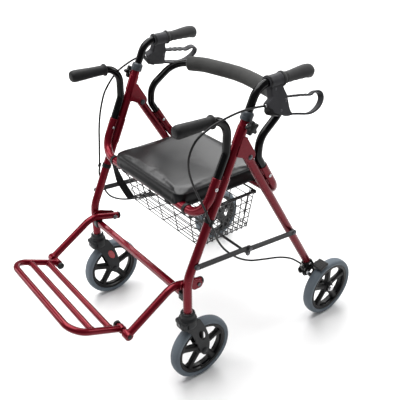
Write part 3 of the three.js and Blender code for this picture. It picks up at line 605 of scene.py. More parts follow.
pair("collar", [lathe([(13.1, -10), (15.6, -10), (16.4, -9), (16.5, -1), (15.9, -0.4), (15.9, 0.6),
                       (16.5, 1.2), (16.5, 8.4), (15.9, 9.6), (14.8, 11.6), (14.2, 13), (11.7, 13),
                       (11.6, 0.4), (13.1, 0.4)],
                      front_leg(LEG_TOP_Z), FRONT_LEAN, 40, closed=True)],
     "frame", COLLAR, ["leg_collar"], "black_plastic")



def leg_sleeve(z0, z1):
    """Thin tube wrapped round the main leg between two heights."""
    radius = 14.3
    run = (front_leg(z1) - front_leg(z0)).length
    return lathe([(12.5, 0), (radius - 0.5, 0), (radius, 0.5), (radius, run - 0.5), (radius - 0.5, run),
                  (12.5, run)], front_leg(z0), FRONT_LEAN, 36, closed=True)


pair("leg_sleeves", [leg_sleeve(712, 757), leg_sleeve(560, 631)], "frame", RED, slot="red_paint")

gusset = rounded([(-14, 686), (12, 675), (22, 664), (33, 658), (43, 661), (50, 670), (50, 681), (19, 732),
                  (6, 737)], 6)
web_shift = vec(0, FRONT_LEAN.z, -FRONT_LEAN.y)
web = [front_leg(z) + web_shift * off for z, off in ((698, 13.1), (698, 15.6), (736, 15.6), (736, 13.1))]
pivot = FOLD_PIVOT + vec(FRAME_X, 0, 0)
pair("gusset", [
    plate_x(gusset, FRAME_X + 13.3, FRAME_X + 15.7, bevel=0.9),
    plate_x(gusset, FRAME_X - 15.7, FRAME_X - 13.3, bevel=0.9),
    plate_x([(p.y, p.z) for p in web], FRAME_X - 15.6, FRAME_X + 15.6, bevel=0.8),
], "frame", RED, ["fold_gusset"], "red_paint")
pair("gusset_weld", [weld([front_leg(z) + vec(x, 6.5, 3) for z in (688, 700, 714, 728)], 2.0)
                     for x in (-13.4, 13.4)], "frame", WELD, slot="red_paint")
pair("fold_bolt", [
    washer(pivot + vec(15.7, 0, 0), vec(1, 0, 0), 3, 7.0, 0.9),
    dome(pivot + vec(16.6, 0, 0), vec(1, 0, 0), 5.6, 2.8, 28),
    pin(pivot + vec(-16, 0, 0), pivot + vec(16, 0, 0), 4),
    washer(pivot + vec(-15.7, 0, 0), vec(-1, 0, 0), 3, 8.6, 0.9),
    hexagon(pivot + vec(-16.6, 0, 0), vec(-1, 0, 0), 7.4, 3.1),
], "frame", DARK_STEEL, slot="black_plastic")
bumper = front_leg(688)
pair("fold_bumper", [lathe([(0, 0), (6.4, 0), (6.4, 2), (5.8, 4.0), (4.2, 5), (0, 5.2)],
                           bumper + web_shift * 12.4, web_shift, 28)],
     "frame", RUBBER, slot="rubber_grip")


def seat_tube(point, top, cross, bore_depth):
    ends = [point(top), point(cross)]
    return tube([*ends, flip(ends[1]), flip(ends[0])], TUBE_R, 62, sides=36, mouths=(0, 1), depth=bore_depth)


make("front_seat_tube_red", [seat_tube(front_socket, 637, FRONT_CROSS_Z, 43.5)], "frame", RED,
     ["front_seat_tube"], "red_paint")
make("rear_seat_tube_red", [seat_tube(rear_socket, 626, 512, 63.5)], "rear_frame", RED,
     ["rear_seat_tube"], "red_paint")
pair("front_socket_weld", socket_welds(front_leg, FRONT_SHIFT, ((606, 636), (572, 592))), "frame", WELD,
     slot="red_paint")
pair("rear_socket_weld", socket_welds(rear_leg, REAR_SHIFT, ((590, 612), (556, 574))), "rear_frame", WELD,
     slot="red_paint")


def snap_button(p):
    """Spring buttons showing on both faces of a socket."""
    shapes = []
    for outward in (vec(1, 0, 0), vec(-1, 0, 0)):
        shapes.append(washer(p + outward * 12.3, outward, 3.3, 4.9, 0.8))
        shapes.append(dome(p + outward * 12.3, outward, 3.2, 3.4, 20))
    return shapes


pair("armrest_snap", snap_button(front_socket(612)), "frame", STEEL)
pair("backrest_snap", snap_button(rear_socket(592)), "rear_frame", STEEL)

CROSSBAR_Z = 304
square = rounded([(-9, -9), (9, -9), (9, 9), (-9, 9)], 5)
make("crossbar", [sweep([vec(x, LEG_Y, CROSSBAR_Z) for x in (-222, -221.4, 221.4, 222)], square,
                        up=vec(0, 0, 1), scale=lambda t: 0.96 if t in (0, 1) else 1)],
     "frame", RED, ["lower_crossbar"], "red_paint")
bite = [(FRAME_X + 13.2 * math.cos(math.radians(k)), LEG_Y + 13.2 * math.sin(math.radians(k)))
        for k in range(244, 115, -6)]
saddle_outline = [(222.3, LEG_Y + 9), (225.5, LEG_Y + 12), *reversed(bite), (225.5, LEG_Y - 12),
                  (222.3, LEG_Y - 9)]
pair("crossbar_clamp_black", [
    flat(saddle_outline[::-1], (), 23.4, 1.2, vec(0, 0, 290.1), XY_AXES),
], "frame", BLACK_PLASTIC, ["crossbar_clamp"], "black_plastic")
pair("crossbar_screw", [dome(vec(231, LEG_Y - 11.6, 303), vec(0, -1, 0), 4, 2.2, 20),
                        dome(vec(231, LEG_Y, 313.4), vec(0, 0, 1), 3.6, 1.8, 20)], "frame", DARK_STEEL)

bracket = rounded([(-174, 322), (-148, 322), (-128, 302), (-104, 302), (-97, 312), (-104, 326), (-130, 336),
                   (-150, 345), (-174, 345)], 6)
foot_pin = FOOT_PIVOT
pair("footrest_bracket_red", [
    plate_x(bracket, 233.2, 236.8, bevel=0.9),
    pin(foot_pin + vec(208, 0, 0), foot_pin + vec(235, 0, 0), 5),
], "frame", RED, ["footrest_bracket"], "red_paint")
pair("footrest_pin", [
    dome(foot_pin + vec(208.6, 0, 0), vec(-1, 0, 0), 8, 3.4, 24),
    hexagon(foot_pin + vec(236.8, 0, 0), vec(1, 0, 0), 6.4, 3.2),
    dome(vec(236.8, -160, 333), vec(1, 0, 0), 4, 2.2),
], "frame", DARK_STEEL, slot="black_plastic")

# ---------------------------------------------------------------- rear frame and brakes
leg_top = pivot - REAR_LEAN * 18
pair("rear_leg_red", [tube([leg_top, rear_leg(215)], TUBE_R, sides=36)], "rear_frame", RED, ["rear_leg"],
     "red_paint")
REARWARD = vec(0, -REAR_LEAN.z, REAR_LEAN.y)


def along_leg(down, back):
    p = FOLD_PIVOT + REAR_LEAN * down + REARWARD * back
    return (p.y, p.z)


leg_end = (215 - FOLD_PIVOT.z) / REAR_LEAN.z
bracket_outline = rounded([along_leg(*p) for p in (
    (leg_end + 0.4, -13), (548, -17), (551, -38), (572, -41), (592, -22), (660, -13), (686, -11),
    (692, 0), (686, 11), (660, 13), (leg_end + 0.4, 13))], 6)
bracket_window = rounded([along_leg(*p) for p in ((575, -17), (628, -8), (628, 6), (575, 6))], 6)
BARREL_AXIS = vec(0, 0.5, -0.866)
CABLE_END = vec(255, 284.6, 216.6)
axle = REAR_AXLE
cable_foot = CABLE_END + BARREL_AXIS * 0.8
pair("brake_bracket_black", [
    plate_x(bracket_outline, 239.2, 243.5, [bracket_window], bevel=0.9),
    plate_x(bracket_outline, 257.5, 261.8, [bracket_window], bevel=0.9),
    plate_x(rounded([along_leg(*p) for p in ((leg_end + 0.6, -12.6), (572, -12.6), (572, 12.6),
                                             (leg_end + 0.6, 12.6))], 4), 243, 258, bevel=0.6),
    plate_x(rounded([along_leg(*p) for p in ((632, -12), (684, -10), (690, 0), (684, 10), (632, 12))], 5),
            243, 258, bevel=0.6),
    lathe([(0, 0), (13.5, 0), (12.4, 2), (12, 4), (12, 12.4), (11.2, 13), (0, 13)], axle + vec(258, 0, 0),
          vec(1, 0, 0), 36),
    plate_x(rounded([(285, 204), (294, 209), (308, 190), (298, 182)], 3), 249, 261, bevel=1.0),
], "rear_frame", BLACK_PLASTIC, ["brake_bracket"], "black_plastic")
pair("rear_axle", [
    pin(axle + vec(259, 0, 0), axle + vec(312.6, 0, 0), 5),
    washer(axle + vec(306.6, 0, 0), vec(1, 0, 0), 4, 10.4, 1.0),
    lathe([(0, 0), (8.2, 0), (8.8, 0.8), (8.8, 4.2), (7.4, 5.0), (5.2, 5.0), (5.2, 5.2), (0, 5.2)],
          axle + vec(307.6, 0, 0), vec(1, 0, 0), 6),
], "rear_frame", STEEL)
pair("cable_adjuster", [
    lathe([(0, 0), (2.8, 0), (2.8, 2), (4.4, 2.6), (4.4, 9), (3.6, 9.6), (3.6, 12), (4.5, 12.4), (4.5, 20),
           (3.2, 21), (3.2, 26), (0, 26)], cable_foot, BARREL_AXIS, 18),
    hexagon(cable_foot + BARREL_AXIS * 13.5, BARREL_AXIS, 6.4, 4.4),
    pin(vec(246.5, 299, 190), vec(263.5, 299, 190), 3.6),
    pin(cable_foot + BARREL_AXIS * 25, vec(258, 304, 183), 1.3),
], "rear_frame", STEEL)
pair("brake_stud", [
    pin_x(304, 180, 258, 263.6, 5.5),
    pin_x(304, 180, 263, 272, 4),
    dome(vec(270.6, 304, 180), vec(1, 0, 0), 6.2, 2.4),
    dome(vec(261.8, along_leg(550, 0)[0], along_leg(550, 0)[1]), vec(1, 0, 0), 4.4, 2.2),
    dome(vec(261.8, along_leg(562, -30)[0], along_leg(562, -30)[1]), vec(1, 0, 0), 4.0, 2.2),
], "rear_frame", STEEL)


def wheel_arc(radius, start, end, steps=12):
    made = []
    for i in range(steps + 1):
        angle = math.radians(start + (end - start) * i / steps)
        made.append((REAR_AXLE.y + radius * math.cos(angle), REAR_AXLE.z + radius * math.sin(angle)))
    return made


shoe_outline = rounded([*wheel_arc(104, 102, 121), *wheel_arc(111.4, 121, 102)], 2, 2)
arm_outline = [*wheel_arc(105, 110, 131), (REAR_AXLE.y - 90, REAR_AXLE.z + 75),
               (REAR_AXLE.y - 92, REAR_AXLE.z + 84), *wheel_arc(112, 131, 110)]
ribs = []
for k in range(5):
    start = 103.5 + k * 3.4
    ribs.append(plate_x([*wheel_arc(110.6, start, start + 1.7, 3), *wheel_arc(113, start + 1.7, start, 3)],
                        267.5, 301.5, bevel=0.4))
pair("brake_shoe_black", [
    plate_x(shoe_outline, 266, 303, bevel=1.2),
    plate_x(rounded(arm_outline, 2, 2), 264, 270, bevel=0.9),
    lathe([(4.7, 0), (10.4, 0), (11, 0.6), (11, 5.4), (10.4, 6), (4.7, 6)], vec(264, 304, 180), vec(1, 0, 0),
          36, closed=True),
    *ribs,
], "brake_shoe_{}", BLACK_PLASTIC, ["brake_shoe"], "black_plastic")

# ---------------------------------------------------------------- folding struts
strut_front = front_leg(403)
strut_rear = rear_leg(371)
STRUT_MID, STRUT_ROD = (42, 388), (40, 370)
STRUT_THICK = 5


def ribbed_bar(a, b, x0, half):
    """Flat bar with a pressed groove along its outer face."""
    x1 = x0 + STRUT_THICK
    inset = bar_outline(a, b, half - 3.2)
    return [plate_x(bar_outline(a, b, half), x0, x1 - 0.8, bevel=0.8),
            plate_x(bar_outline(a, b, half - 0.4), x1 - 1.6, x1, [inset], bevel=0.3)]


front_pair = []
for sign in (1, -1):
    parts = [*ribbed_bar((strut_front.y, strut_front.z), STRUT_MID, 264.2, 8),
             *ribbed_bar(STRUT_MID, STRUT_ROD, 264.2, 7),
             pin_x(strut_front.y, strut_front.z, 257, 265.4, 4)]
    for verts, faces in parts:
        front_pair.append(([vec(sign * p.x, p.y, p.z) for p in verts], faces))
make("front_struts_black", [*front_pair, pin(vec(-266.2, *STRUT_ROD), vec(266.2, *STRUT_ROD), 4)],
     "front_struts", STRUT_COAT, ["front_struts"], "black_tube")
pair("rear_strut_black", [
    *ribbed_bar(STRUT_MID, (strut_rear.y, strut_rear.z), 269.7, 8),
    pin_x(strut_rear.y, strut_rear.z, 256, 270.6, 4),
    pin_x(strut_rear.y, strut_rear.z, 263.6, 270.6, 7.6),
], "rear_strut_{}", STRUT_COAT, ["rear_strut"], "black_tube")
pair("front_strut_rivets", [
    dome(vec(269.2, strut_front.y, strut_front.z), vec(1, 0, 0), 5.6, 2.4),
    dome(vec(269.1, *STRUT_ROD), vec(1, 0, 0), 4.6, 0.5),
], "front_struts", DARK_STEEL)
pair("rear_strut_rivets", [
    dome(vec(274.7, strut_rear.y, strut_rear.z), vec(1, 0, 0), 6.6, 3),
    dome(vec(274.7, *STRUT_MID), vec(1, 0, 0), 6.2, 2.8),
], "rear_strut_{}", DARK_STEEL)

# ---------------------------------------------------------------- push handles
HANDLE_RUN = vec(0, 186, 2.5).normalized()
handle_corner = front_leg(HANDLE_Z)


def handle_at(y):
    return handle_corner + HANDLE_RUN * ((y - handle_corner.y) / HANDLE_RUN.y)


pair("handle_tube_black", [tube([front_leg(620), handle_corner, handle_corner + HANDLE_RUN * 186], ROD_R, 50,
                                sides=36)], "handle_{}", BLACK_TUBE, ["handle_tube"], "black_tube")


def push_grip():
    """Moulded grip: flange, palm swell on top, finger scallops below and a turned-down tail."""
    start = handle_at(GRIP_START_Y)
    right, up = vec(1, 0, 0), vec(1, 0, 0).cross(HANDLE_RUN)
    stations = [(0, 17.4, 17.4, 17.4, 0), (0.6, 18.8, 18.8, 18.8, 0), (2.2, 20.2, 20.2, 20.4, 0),
                (4.6, 20.2, 20.2, 20.4, 0), (6.6, 18.4, 18.4, 18.6, 0), (9, 16.0, 15.6, 15.8, 0),
                (14, 14.9, 15.0, 14.9, 0), (24, 14.6, 15.0, 14.4, 0), (34, 14.8, 15.6, 15.6, 0),
                (44, 15.2, 16.4, 14.4, 0), (54, 15.8, 17.4, 15.8, 0), (64, 16.6, 18.4, 14.8, 0),
                (74, 17.4, 19.2, 16.4, 0), (84, 17.9, 19.6, 16.0, 0), (94, 17.9, 19.2, 17.4, 0),
                (102, 17.2, 18.0, 19.4, 0), (108, 15.8, 15.8, 20.4, 0), (112, 13.6, 12.6, 19.4, 0),
                (115, 10.0, 8.2, 15.4, -1.2), (116.6, 5.0, 3.6, 9.0, -3)]
    rings = []
    for along, side, top, under, drop in stations:
        centre = start + HANDLE_RUN * along + up * drop
        ring = []
        for k in range(36):
            turn = 2 * math.pi * k / 36
            c, s = math.cos(turn), math.sin(turn)
            tall = top if s > 0 else under
            bulge = 1 + 0.015 * math.cos(4 * turn)
            ring.append(centre + right * (side * c * bulge) + up * (tall * s * bulge))
        rings.append(ring)
    return loft(rings)


def grip_ridges():
    """Fine raised bands round the back of the palm swell and the flange."""
    start = handle_at(GRIP_START_Y)
    shapes = []
    for along in (12, 15, 18):
        shapes.append(lathe([(13.6, -0.8), (15.2, -0.7), (15.6, 0), (15.2, 0.7), (13.6, 0.8)],
                            start + HANDLE_RUN * along, HANDLE_RUN, 36, closed=True))
    return shapes


pair("push_grip_rubber", [push_grip(), *grip_ridges()], "handle_{}", RUBBER, ["push_grip"], "rubber_grip",
     sharp=60)

cheek = rounded([(95, 842), (134, 842), (135, 830), (142, 812), (142, 761), (106, 767), (85, 777),
                 (77, 790), (74, 804), (93, 815)], 5)
web = rounded([(93, 843), (118, 843), (116, 830), (116, 766), (106, 767), (85, 777), (77, 790),
               (74, 804), (92, 815)], 4)
clamp = lathe([(11.7, 0), (16.6, 0), (17.5, 0.9), (17.5, 6), (16.9, 6.6), (16.9, 38), (17.5, 38.6),
               (17.5, 44.6), (16.6, 45.4), (11.7, 45.4)], handle_at(91), HANDLE_RUN, 44, closed=True)
pair("brake_housing_grey", [
    clamp,
    tilted(plate_x(cheek, FRAME_X + 7, FRAME_X + 11, bevel=1.4)),
    tilted(plate_x(cheek, FRAME_X - 11, FRAME_X - 7, bevel=1.4)),
    tilted(plate_x(web, FRAME_X - 8, FRAME_X + 8, bevel=1.2)),
    tilted(plate_x(rounded([(94, 844), (135, 844), (136, 828), (94, 828)], 4), FRAME_X - 10, FRAME_X + 10,
                   bevel=1.6)),
], "handle_{}", GREY_PLASTIC, ["brake_housing"], "grey_plastic", sharp=50)
nose_strip = rounded([(76, 793), (74, 784), (80, 775), (104, 765.5), (106, 770), (88, 779), (84, 790)], 2)
pair("housing_band", [
    lathe([(17.3, 0), (18.2, 0.4), (18.2, 4.6), (17.3, 5)], handle_at(91.4), HANDLE_RUN, 44, closed=True),
    tilted(plate_x(nose_strip, FRAME_X - 11.6, FRAME_X + 11.6, bevel=1.0)),
], "handle_{}", BLACK_PLASTIC, slot="black_plastic")
lever_pin = tilted(([vec(FRAME_X + 11, 134, 800), vec(FRAME_X - 11, 134, 800)], []))[0]
outward = (lever_pin[0] - lever_pin[1]).normalized()
screw_spots = tilted(([vec(FRAME_X + 11, y, z) for y, z in ((107, 833), (112, 778))], []))[0]
pair("housing_screws", [
    dome(lever_pin[0] - outward * 0.4, outward, 4.6, 1.8),
    dome(lever_pin[1] + outward * 0.4, -outward, 4.6, 1.8),
    *[dome(p - outward * 0.4, outward, 3.2, 1.2) for p in screw_spots],
], "handle_{}", DARK_STEEL)
CABLE_EXIT = vec(268.3, 72, 802.5)
exit_in = tilted(([vec(FRAME_X, 84, 799)], []))[0][0]
exit_axis = (CABLE_EXIT - exit_in).normalized()
pair("barrel_adjuster", [
    lathe([(0, -4), (4.2, -4), (4.2, 2), (5.4, 2.6), (5.6, 3.4), (5.6, 7.0), (5.0, 7.8), (3.8, 8.2),
           (3.8, 10.5), (2.9, 11.5), (2.7, 13), (0, 13)], exit_in, exit_axis, 16),
], "handle_{}", STEEL)


def lever_loop():
    """Thin band bent to a closed loop, with finger waves along the top and a hooked tail."""
    outer = [(127, 806), (136, 810), (147, 810), (160, 807), (170, 807), (180, 803.5), (190, 804),
             (200, 800.5), (211, 800.5), (220, 796.5), (230, 795.5), (238, 798.5), (246, 800.5), (256, 800),
             (265, 796.5), (271.5, 790), (273.5, 782), (272, 773), (266, 764), (256, 755.5), (243, 749),
             (225, 745), (208, 745), (194, 748), (180, 751.4), (163, 755.4), (148, 757.8), (135, 758.5),
             (128, 763), (125, 780)]
    inner = [(147, 803.5), (160, 801.4), (170, 802.4), (180, 798.4), (190, 799.4), (200, 795.4), (211, 796),
             (221, 791.6), (231, 791), (239, 794), (247, 796), (256, 794), (263, 790), (266.5, 784),
             (266, 776.5), (261, 768.5), (252, 761), (240, 754.6), (225, 750.4), (209, 750.4), (194, 753.6),
             (181, 757), (164, 761), (152, 764), (148.4, 772), (146.6, 786)]
    smooth = lambda ring: [(p.x, p.y) for p in spline([Vector((a, b, 0)) for a, b in ring], 4, closed=True)]
    band = plate_x(smooth(outer), FRAME_X - 6, FRAME_X + 6, [smooth(inner)[::-1]], bevel=1.3)
    for p in band[0]:
        spread = min(1.0, max(0.0, (p.y - 152) / 22))
        p.x = FRAME_X + (p.x - FRAME_X) * (1 + 0.5 * spread)
    return band


pair("brake_lever_loop", [
    tilted(lever_loop()),
    pin(lever_pin[0] - outward * 0.6, lever_pin[1] + outward * 0.6, 3.5),
], "brake_lever_{}", GREY_PLASTIC, ["brake_lever"], "grey_plastic", sharp=50)

star = []
for k in range(120):
    angle = 2 * math.pi * k / 120
    wave = math.cos(5 * angle)
    radius = 15.8 + 3.4 * (abs(wave) ** 0.7) * (1 if wave > 0 else -1)
    star.append((knob.y + radius * math.cos(angle + 0.3), knob.z + radius * math.sin(angle + 0.3)))
pair("star_knob_black", [
    plate_x(star, FRAME_X + 23, FRAME_X + 36, bevel=2.6),
    lathe([(0, 0), (6.6, 0), (8, 1), (8.6, 6), (11, 8.5), (0, 9)], knob + vec(16.6, 0, 0), vec(1, 0, 0), 32),
    lathe([(0, 0), (8.6, 0), (8.2, 1.6), (5, 2.4), (0, 2.6)], knob + vec(35.4, 0, 0), vec(1, 0, 0), 32),
], "star_knob_{}", BLACK_PLASTIC, ["star_knob"], "black_plastic")
pair("star_knob_stud", [pin(knob + vec(16.6, 0, 0), knob + vec(22, 0, 0), 3.8),
                        washer(knob + vec(16.7, 0, 0), vec(1, 0, 0), 3, 8.9, 1.1)],
     "star_knob_{}", STEEL)

# ---------------------------------------------------------------- armrests
ARM_Z = 794
pair("armrest_tube_black", [tube([front_socket(601), front_socket(700), vec(FRAME_X, -34, ARM_Z),
                                  vec(FRAME_X, -186, ARM_Z + 1)], ROD_R, [40, 48], sides=36)],
     "armrest_{}", BLACK_TUBE, ["armrest_tube"], "black_tube")


def armrest_grip():
    start, run = vec(FRAME_X, -82, ARM_Z + 0.3), vec(0, -1, 0.0066).normalized()
    profile = [(11.6, 0.3), (16.8, 0), (17.8, 1), (18, 2.6), (17.8, 4.6), (16.4, 6.6), (14.9, 8.4),
               (14.5, 12), (14.7, 24), (15.1, 40), (15.8, 58), (16.6, 74), (17.2, 88), (17.4, 98),
               (17.0, 104), (15.4, 109), (12.4, 111.8), (11.4, 111.2), (10.8, 111.6), (6, 112.5), (0, 112.6)]
    return lathe(profile, start, run, 44)


pair("armrest_grip_rubber", [armrest_grip()], "armrest_{}", DARK_RUBBER, ["armrest_grip"], "rubber_grip",
     sharp=60)

# ---------------------------------------------------------------- backrest
BACK_BOW = [vec(244, 165, 772), vec(150, 215, 776), vec(0, 237, 780)]
BACK_BEND_R, BACK_MIDDLE_R = 90, 400
half = [rear_socket(574), rear_socket(655), vec(FRAME_X, 77, 708), BACK_BOW[0], BACK_BOW[1]]
corners = [*half, BACK_BOW[2], *[flip(p) for p in reversed(half)]]
bends = [30, 54, 70, BACK_BEND_R, BACK_MIDDLE_R, BACK_BEND_R, 70, 54, 30]
make("backrest_tube", [tube(corners, ROD_R, bends, sides=36)], "backrest", BLACK_TUBE, ["backrest_bar"],
     "black_tube")


def foam_sleeve():
    """Thick foam tube on the bow, a little lumpy, with rolled ends closing on the bar."""
    tip = BACK_BOW[0].lerp(BACK_BOW[1], 0.46)
    path = bent([tip, BACK_BOW[1], BACK_BOW[2], flip(BACK_BOW[1]), flip(tip)],
                [BACK_BEND_R, BACK_MIDDLE_R, BACK_BEND_R])
    fine = []
    for a, b in zip(path, path[1:]):
        steps = max(1, round((b - a).length / 3.5))
        fine += [a.lerp(b, k / steps) for k in range(steps)]
    fine.append(path[-1])
    lumps = random.Random(5)
    phases = [(lumps.uniform(0, 6.28), lumps.uniform(0, 6.28), lumps.uniform(0.012, 0.03)) for _ in range(5)]
    travelled = 0.0
    total = sum((b - a).length for a, b in zip(fine, fine[1:]))
    rings = []
    last = fine[0]
    for p, (across, above, _) in zip(fine, frames(fine)):
        travelled += (p - last).length
        last = p
        edge = min(travelled, total - travelled)
        shoulder = 1 if edge > 7 else 0.80 + 0.20 * math.sqrt(max(0.0, 1 - (1 - edge / 7) ** 2))
        ring = []
        for k in range(40):
            turn = 2 * math.pi * k / 40
            lump = sum(0.30 * math.sin(travelled * rate + a + m * turn) * math.cos(b + turn)
                       for m, (a, b, rate) in enumerate(phases, 1))
            r = (22.5 + 0.35 * lump) * shoulder
            ring.append(p + across * (r * math.cos(turn)) + above * (r * math.sin(turn)))
        rings.append(ring)
    inner = [[p + (q - p).normalized() * 11.6 for q in ring] for p, ring in ((fine[0], rings[0]),
                                                                             (fine[-1], rings[-1]))]
    mouth = [[p + (q - p).normalized() * 13.4 for q in ring] for p, ring in ((fine[0], rings[0]),
                                                                             (fine[-1], rings[-1]))]
    deep = [[q + (fine[4] - fine[0]) for q in inner[0]], [q + (fine[-5] - fine[-1]) for q in inner[1]]]
    return loft([deep[0], inner[0], mouth[0], *rings, mouth[1], inner[1], deep[1]])


pad = make("backrest_foam", [foam_sleeve()], "backrest", FOAM, ["backrest_pad"], "foam", sharp=60)

# ---------------------------------------------------------------- seat
SEAT_HALF, SEAT_FRONT, SEAT_REAR = 173, -129, 194
SEAT_UNDER, SEAT_LIP, SEAT_BOARD, SEAT_TOP = 528, 530, 540, 575
SEAT_MID = (SEAT_FRONT + SEAT_REAR) / 2
WELT_Z = SEAT_LIP + 34.5
CHANNEL_R = 13.8


def rounded_box_outline(x0, x1, y0, y1, radius, steps=10):
    made = []
    for n, (cx, cy) in enumerate(((x1 - radius, y1 - radius), (x0 + radius, y1 - radius),
                                  (x0 + radius, y0 + radius), (x1 - radius, y0 + radius))):
        for k in range(steps + 1):
            angle = math.pi / 2 * (n + k / steps)
            made.append((cx + radius * math.cos(angle), cy + radius * math.sin(angle)))
    return made


def cushion_start(shrink):
    """Crowned block to be blown up: its walls pull in a little between the corners."""
    rings = []
    half_depth = (SEAT_REAR - SEAT_FRONT) / 2
    rows = [(SEAT_LIP, 1.6, 0.0), (SEAT_LIP + 1.0, 0.4, 0.0), (SEAT_LIP + 6, 0, 0.4), (SEAT_LIP + 16, 0, 1.0),
            (SEAT_LIP + 26, 0.2, 0.9), (SEAT_LIP + 32, 1.2, 0.6), (SEAT_LIP + 36, 3.2, 0.3),
            (SEAT_LIP + 39, 6.6, 0.1)]
    for z, inset, waist in rows:
        ring = []
        outline = rounded_box_outline(-SEAT_HALF + shrink + inset, SEAT_HALF - shrink - inset,
                                      SEAT_FRONT + shrink + inset, SEAT_REAR - shrink - inset, 30)
        for x, y in outline:
            u = abs(x) / (SEAT_HALF - shrink - inset)
            v = abs(y - SEAT_MID) / (half_depth - shrink - inset)
            pull = 2.4 * waist * max(0.0, 1 - min(u, v) ** 2)
            if u > v:
                x -= math.copysign(pull, x)
            else:
                y -= math.copysign(pull, y - SEAT_MID)
            ring.append(vec(x, y, z))
        rings.append(ring)
    top = rings[-1]
    centre = vec(0, SEAT_MID, 0)
    for share, rise in ((0.94, 1.6), (0.86, 2.6), (0.72, 3.2), (0.5, 3.6), (0.28, 3.8), (0.1, 3.9)):
        rings.append([centre + vec(p.x, p.y - SEAT_MID, 0) * share + vec(0, 0, top[0].z + rise) for p in top])
    return loft(rings)


def settled(obj):
    """The mesh with its modifiers applied."""
    graph = bpy.context.evaluated_depsgraph_get()
    mesh = bpy.data.meshes.new_from_object(obj.evaluated_get(graph))
    obj.modifiers.clear()
    obj.data = mesh
    return mesh


CLOTH_FRAMES = 20


def inflate(obj, voxel, pressure, cap):
    """Voxel remesh, then a short cloth run under pressure, each point held within cap of its start."""
    remesh = obj.modifiers.new("remesh", "REMESH")
    remesh.mode = "VOXEL"
    remesh.voxel_size = voxel * MM
    start = [v.co.copy() for v in settled(obj).vertices]
    group = obj.vertex_groups.new(name="held")
    group.add([n for n, home in enumerate(start) if home.z < (SEAT_LIP + 4) * MM], 1.0, "REPLACE")
    cloth = obj.modifiers.new("cloth", "CLOTH")
    cloth.settings.quality = 5
    cloth.settings.mass = 0.4
    cloth.settings.tension_stiffness = 25
    cloth.settings.compression_stiffness = 25
    cloth.settings.shear_stiffness = 15
    cloth.settings.bending_stiffness = 2
    cloth.settings.use_pressure = True
    cloth.settings.uniform_pressure_force = pressure
    cloth.settings.vertex_group_mass = "held"
    cloth.settings.effector_weights.gravity = 0
    cloth.point_cache.frame_start = 1
    cloth.point_cache.frame_end = CLOTH_FRAMES
    for number in range(1, CLOTH_FRAMES + 1):
        bpy.context.scene.frame_set(number)
    blown = settled(obj)
    obj.vertex_groups.clear()
    for v, home in zip(blown.vertices, start):
        move = v.co - home
        if move.length > cap * MM:
            v.co = home + move.normalized() * (cap * MM)
    bpy.context.scene.frame_set(1)


def prism(outline_yz, x0, x1):
    return loft([[vec(x, y, z) for y, z in outline_yz] for x in (x0, x1)])


def tunnel(radius, rear):
    """Outline of the space the front cross tube needs under the seat, open downward."""
    arch = [(HINGE.y - radius * math.cos(math.pi * k / 18), HINGE.z + radius * math.sin(math.pi * k / 18))
            for k in range(19)]
    return [(HINGE.y - radius, 515), *arch, (rear, HINGE.z), (rear, 515)]


def carve(obj, shapes):
    for shape in shapes:
        cutter = make("cutter", [shape], None, BOARD)
        cutter.modifiers.clear()
        trim = obj.modifiers.new("trim", "BOOLEAN")
        trim.operation = "DIFFERENCE"
        trim.solver = "EXACT"
        trim.object = cutter
        settled(obj)
        bpy.data.objects.remove(cutter)


def seat_cushion():
    """Blown-up vinyl cushion, hollow below for its board and for the front cross tube."""
    obj = make("seat_cushion_vinyl", [cushion_start(2.4)], None, VINYL)
    obj.modifiers.clear()
    inflate(obj, voxel=5.0, pressure=4.0, cap=2.4)
    ripple = random.Random(3)
    waves = [(ripple.uniform(-0.02, 0.02), ripple.uniform(-0.02, 0.02), ripple.uniform(0, 6.28))
             for _ in range(7)]
    for v in obj.data.vertices:
        x, y, z = v.co / MM
        edge = min(abs(abs(x) - SEAT_HALF), abs(y - SEAT_FRONT), abs(y - SEAT_REAR))
        if z > SEAT_LIP + 28:
            z += 0.16 * sum(math.sin(x * a + y * b + c) for a, b, c in waves)
            z -= 0.5 * math.exp(-edge / 16) * abs(math.sin(x * 0.16) * math.sin(y * 0.16 + 1))
        v.co = vec(min(max(x, -SEAT_HALF), SEAT_HALF), min(max(y, SEAT_FRONT), SEAT_REAR),
                   min(max(z, SEAT_LIP), SEAT_TOP + 1.5)) * MM
    smooth = obj.modifiers.new("smooth", "SUBSURF")
    smooth.levels = smooth.render_levels = 1
    settled(obj)
    recess = [(HINGE.y + 14, 515), (HINGE.y + 14, SEAT_BOARD), (190.3, SEAT_BOARD), (190.3, 515)]
    carve(obj, [prism(recess, -169.3, 169.3), prism(tunnel(CHANNEL_R, HINGE.y + 15), -190, 190),
                prism(tunnel(15.8, HINGE.y + 21), 99, 121), prism(tunnel(15.8, HINGE.y + 21), -121, -99)])
    mesh = obj.data
    mesh.materials.clear()
    mesh.materials.append(VINYL)
    mesh.materials.append(SHADED_WALL_VINYL)
    # Faces below the welt take the darker wall copy of the vinyl: painted shade on the cushion's sides.
    for face in mesh.polygons:
        if face.center.z < WELT_Z * MM:
            face.material_index = 1
    mesh.shade_smooth()
    mesh.set_sharp_from_angle(angle=math.radians(50))
    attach(obj, "seat")
    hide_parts("seat_cushion")
    return obj


WELT_POINTS = 150


def seam_on(obj, z, sink, radius):
    """A welt lying on the cushion's walls at one height."""
    surface = BVHTree.FromObject(obj, bpy.context.evaluated_depsgraph_get())
    line = []
    for k in range(WELT_POINTS):
        turn = 2 * math.pi * k / WELT_POINTS
        out = vec(math.cos(turn), math.sin(turn), 0)
        start = (vec(0, SEAT_MID, z) + out * 300) * MM
        hit, normal, _, _ = surface.ray_cast(start, -out)
        line.append(hit / MM - normal * sink)
    return sweep(line, circle(radius, 10), closed=True)


cushion = seat_cushion()
make("seat_welt", [seam_on(cushion, WELT_Z, 0.5, 1.0)], "seat", PIPING, slot="vinyl")


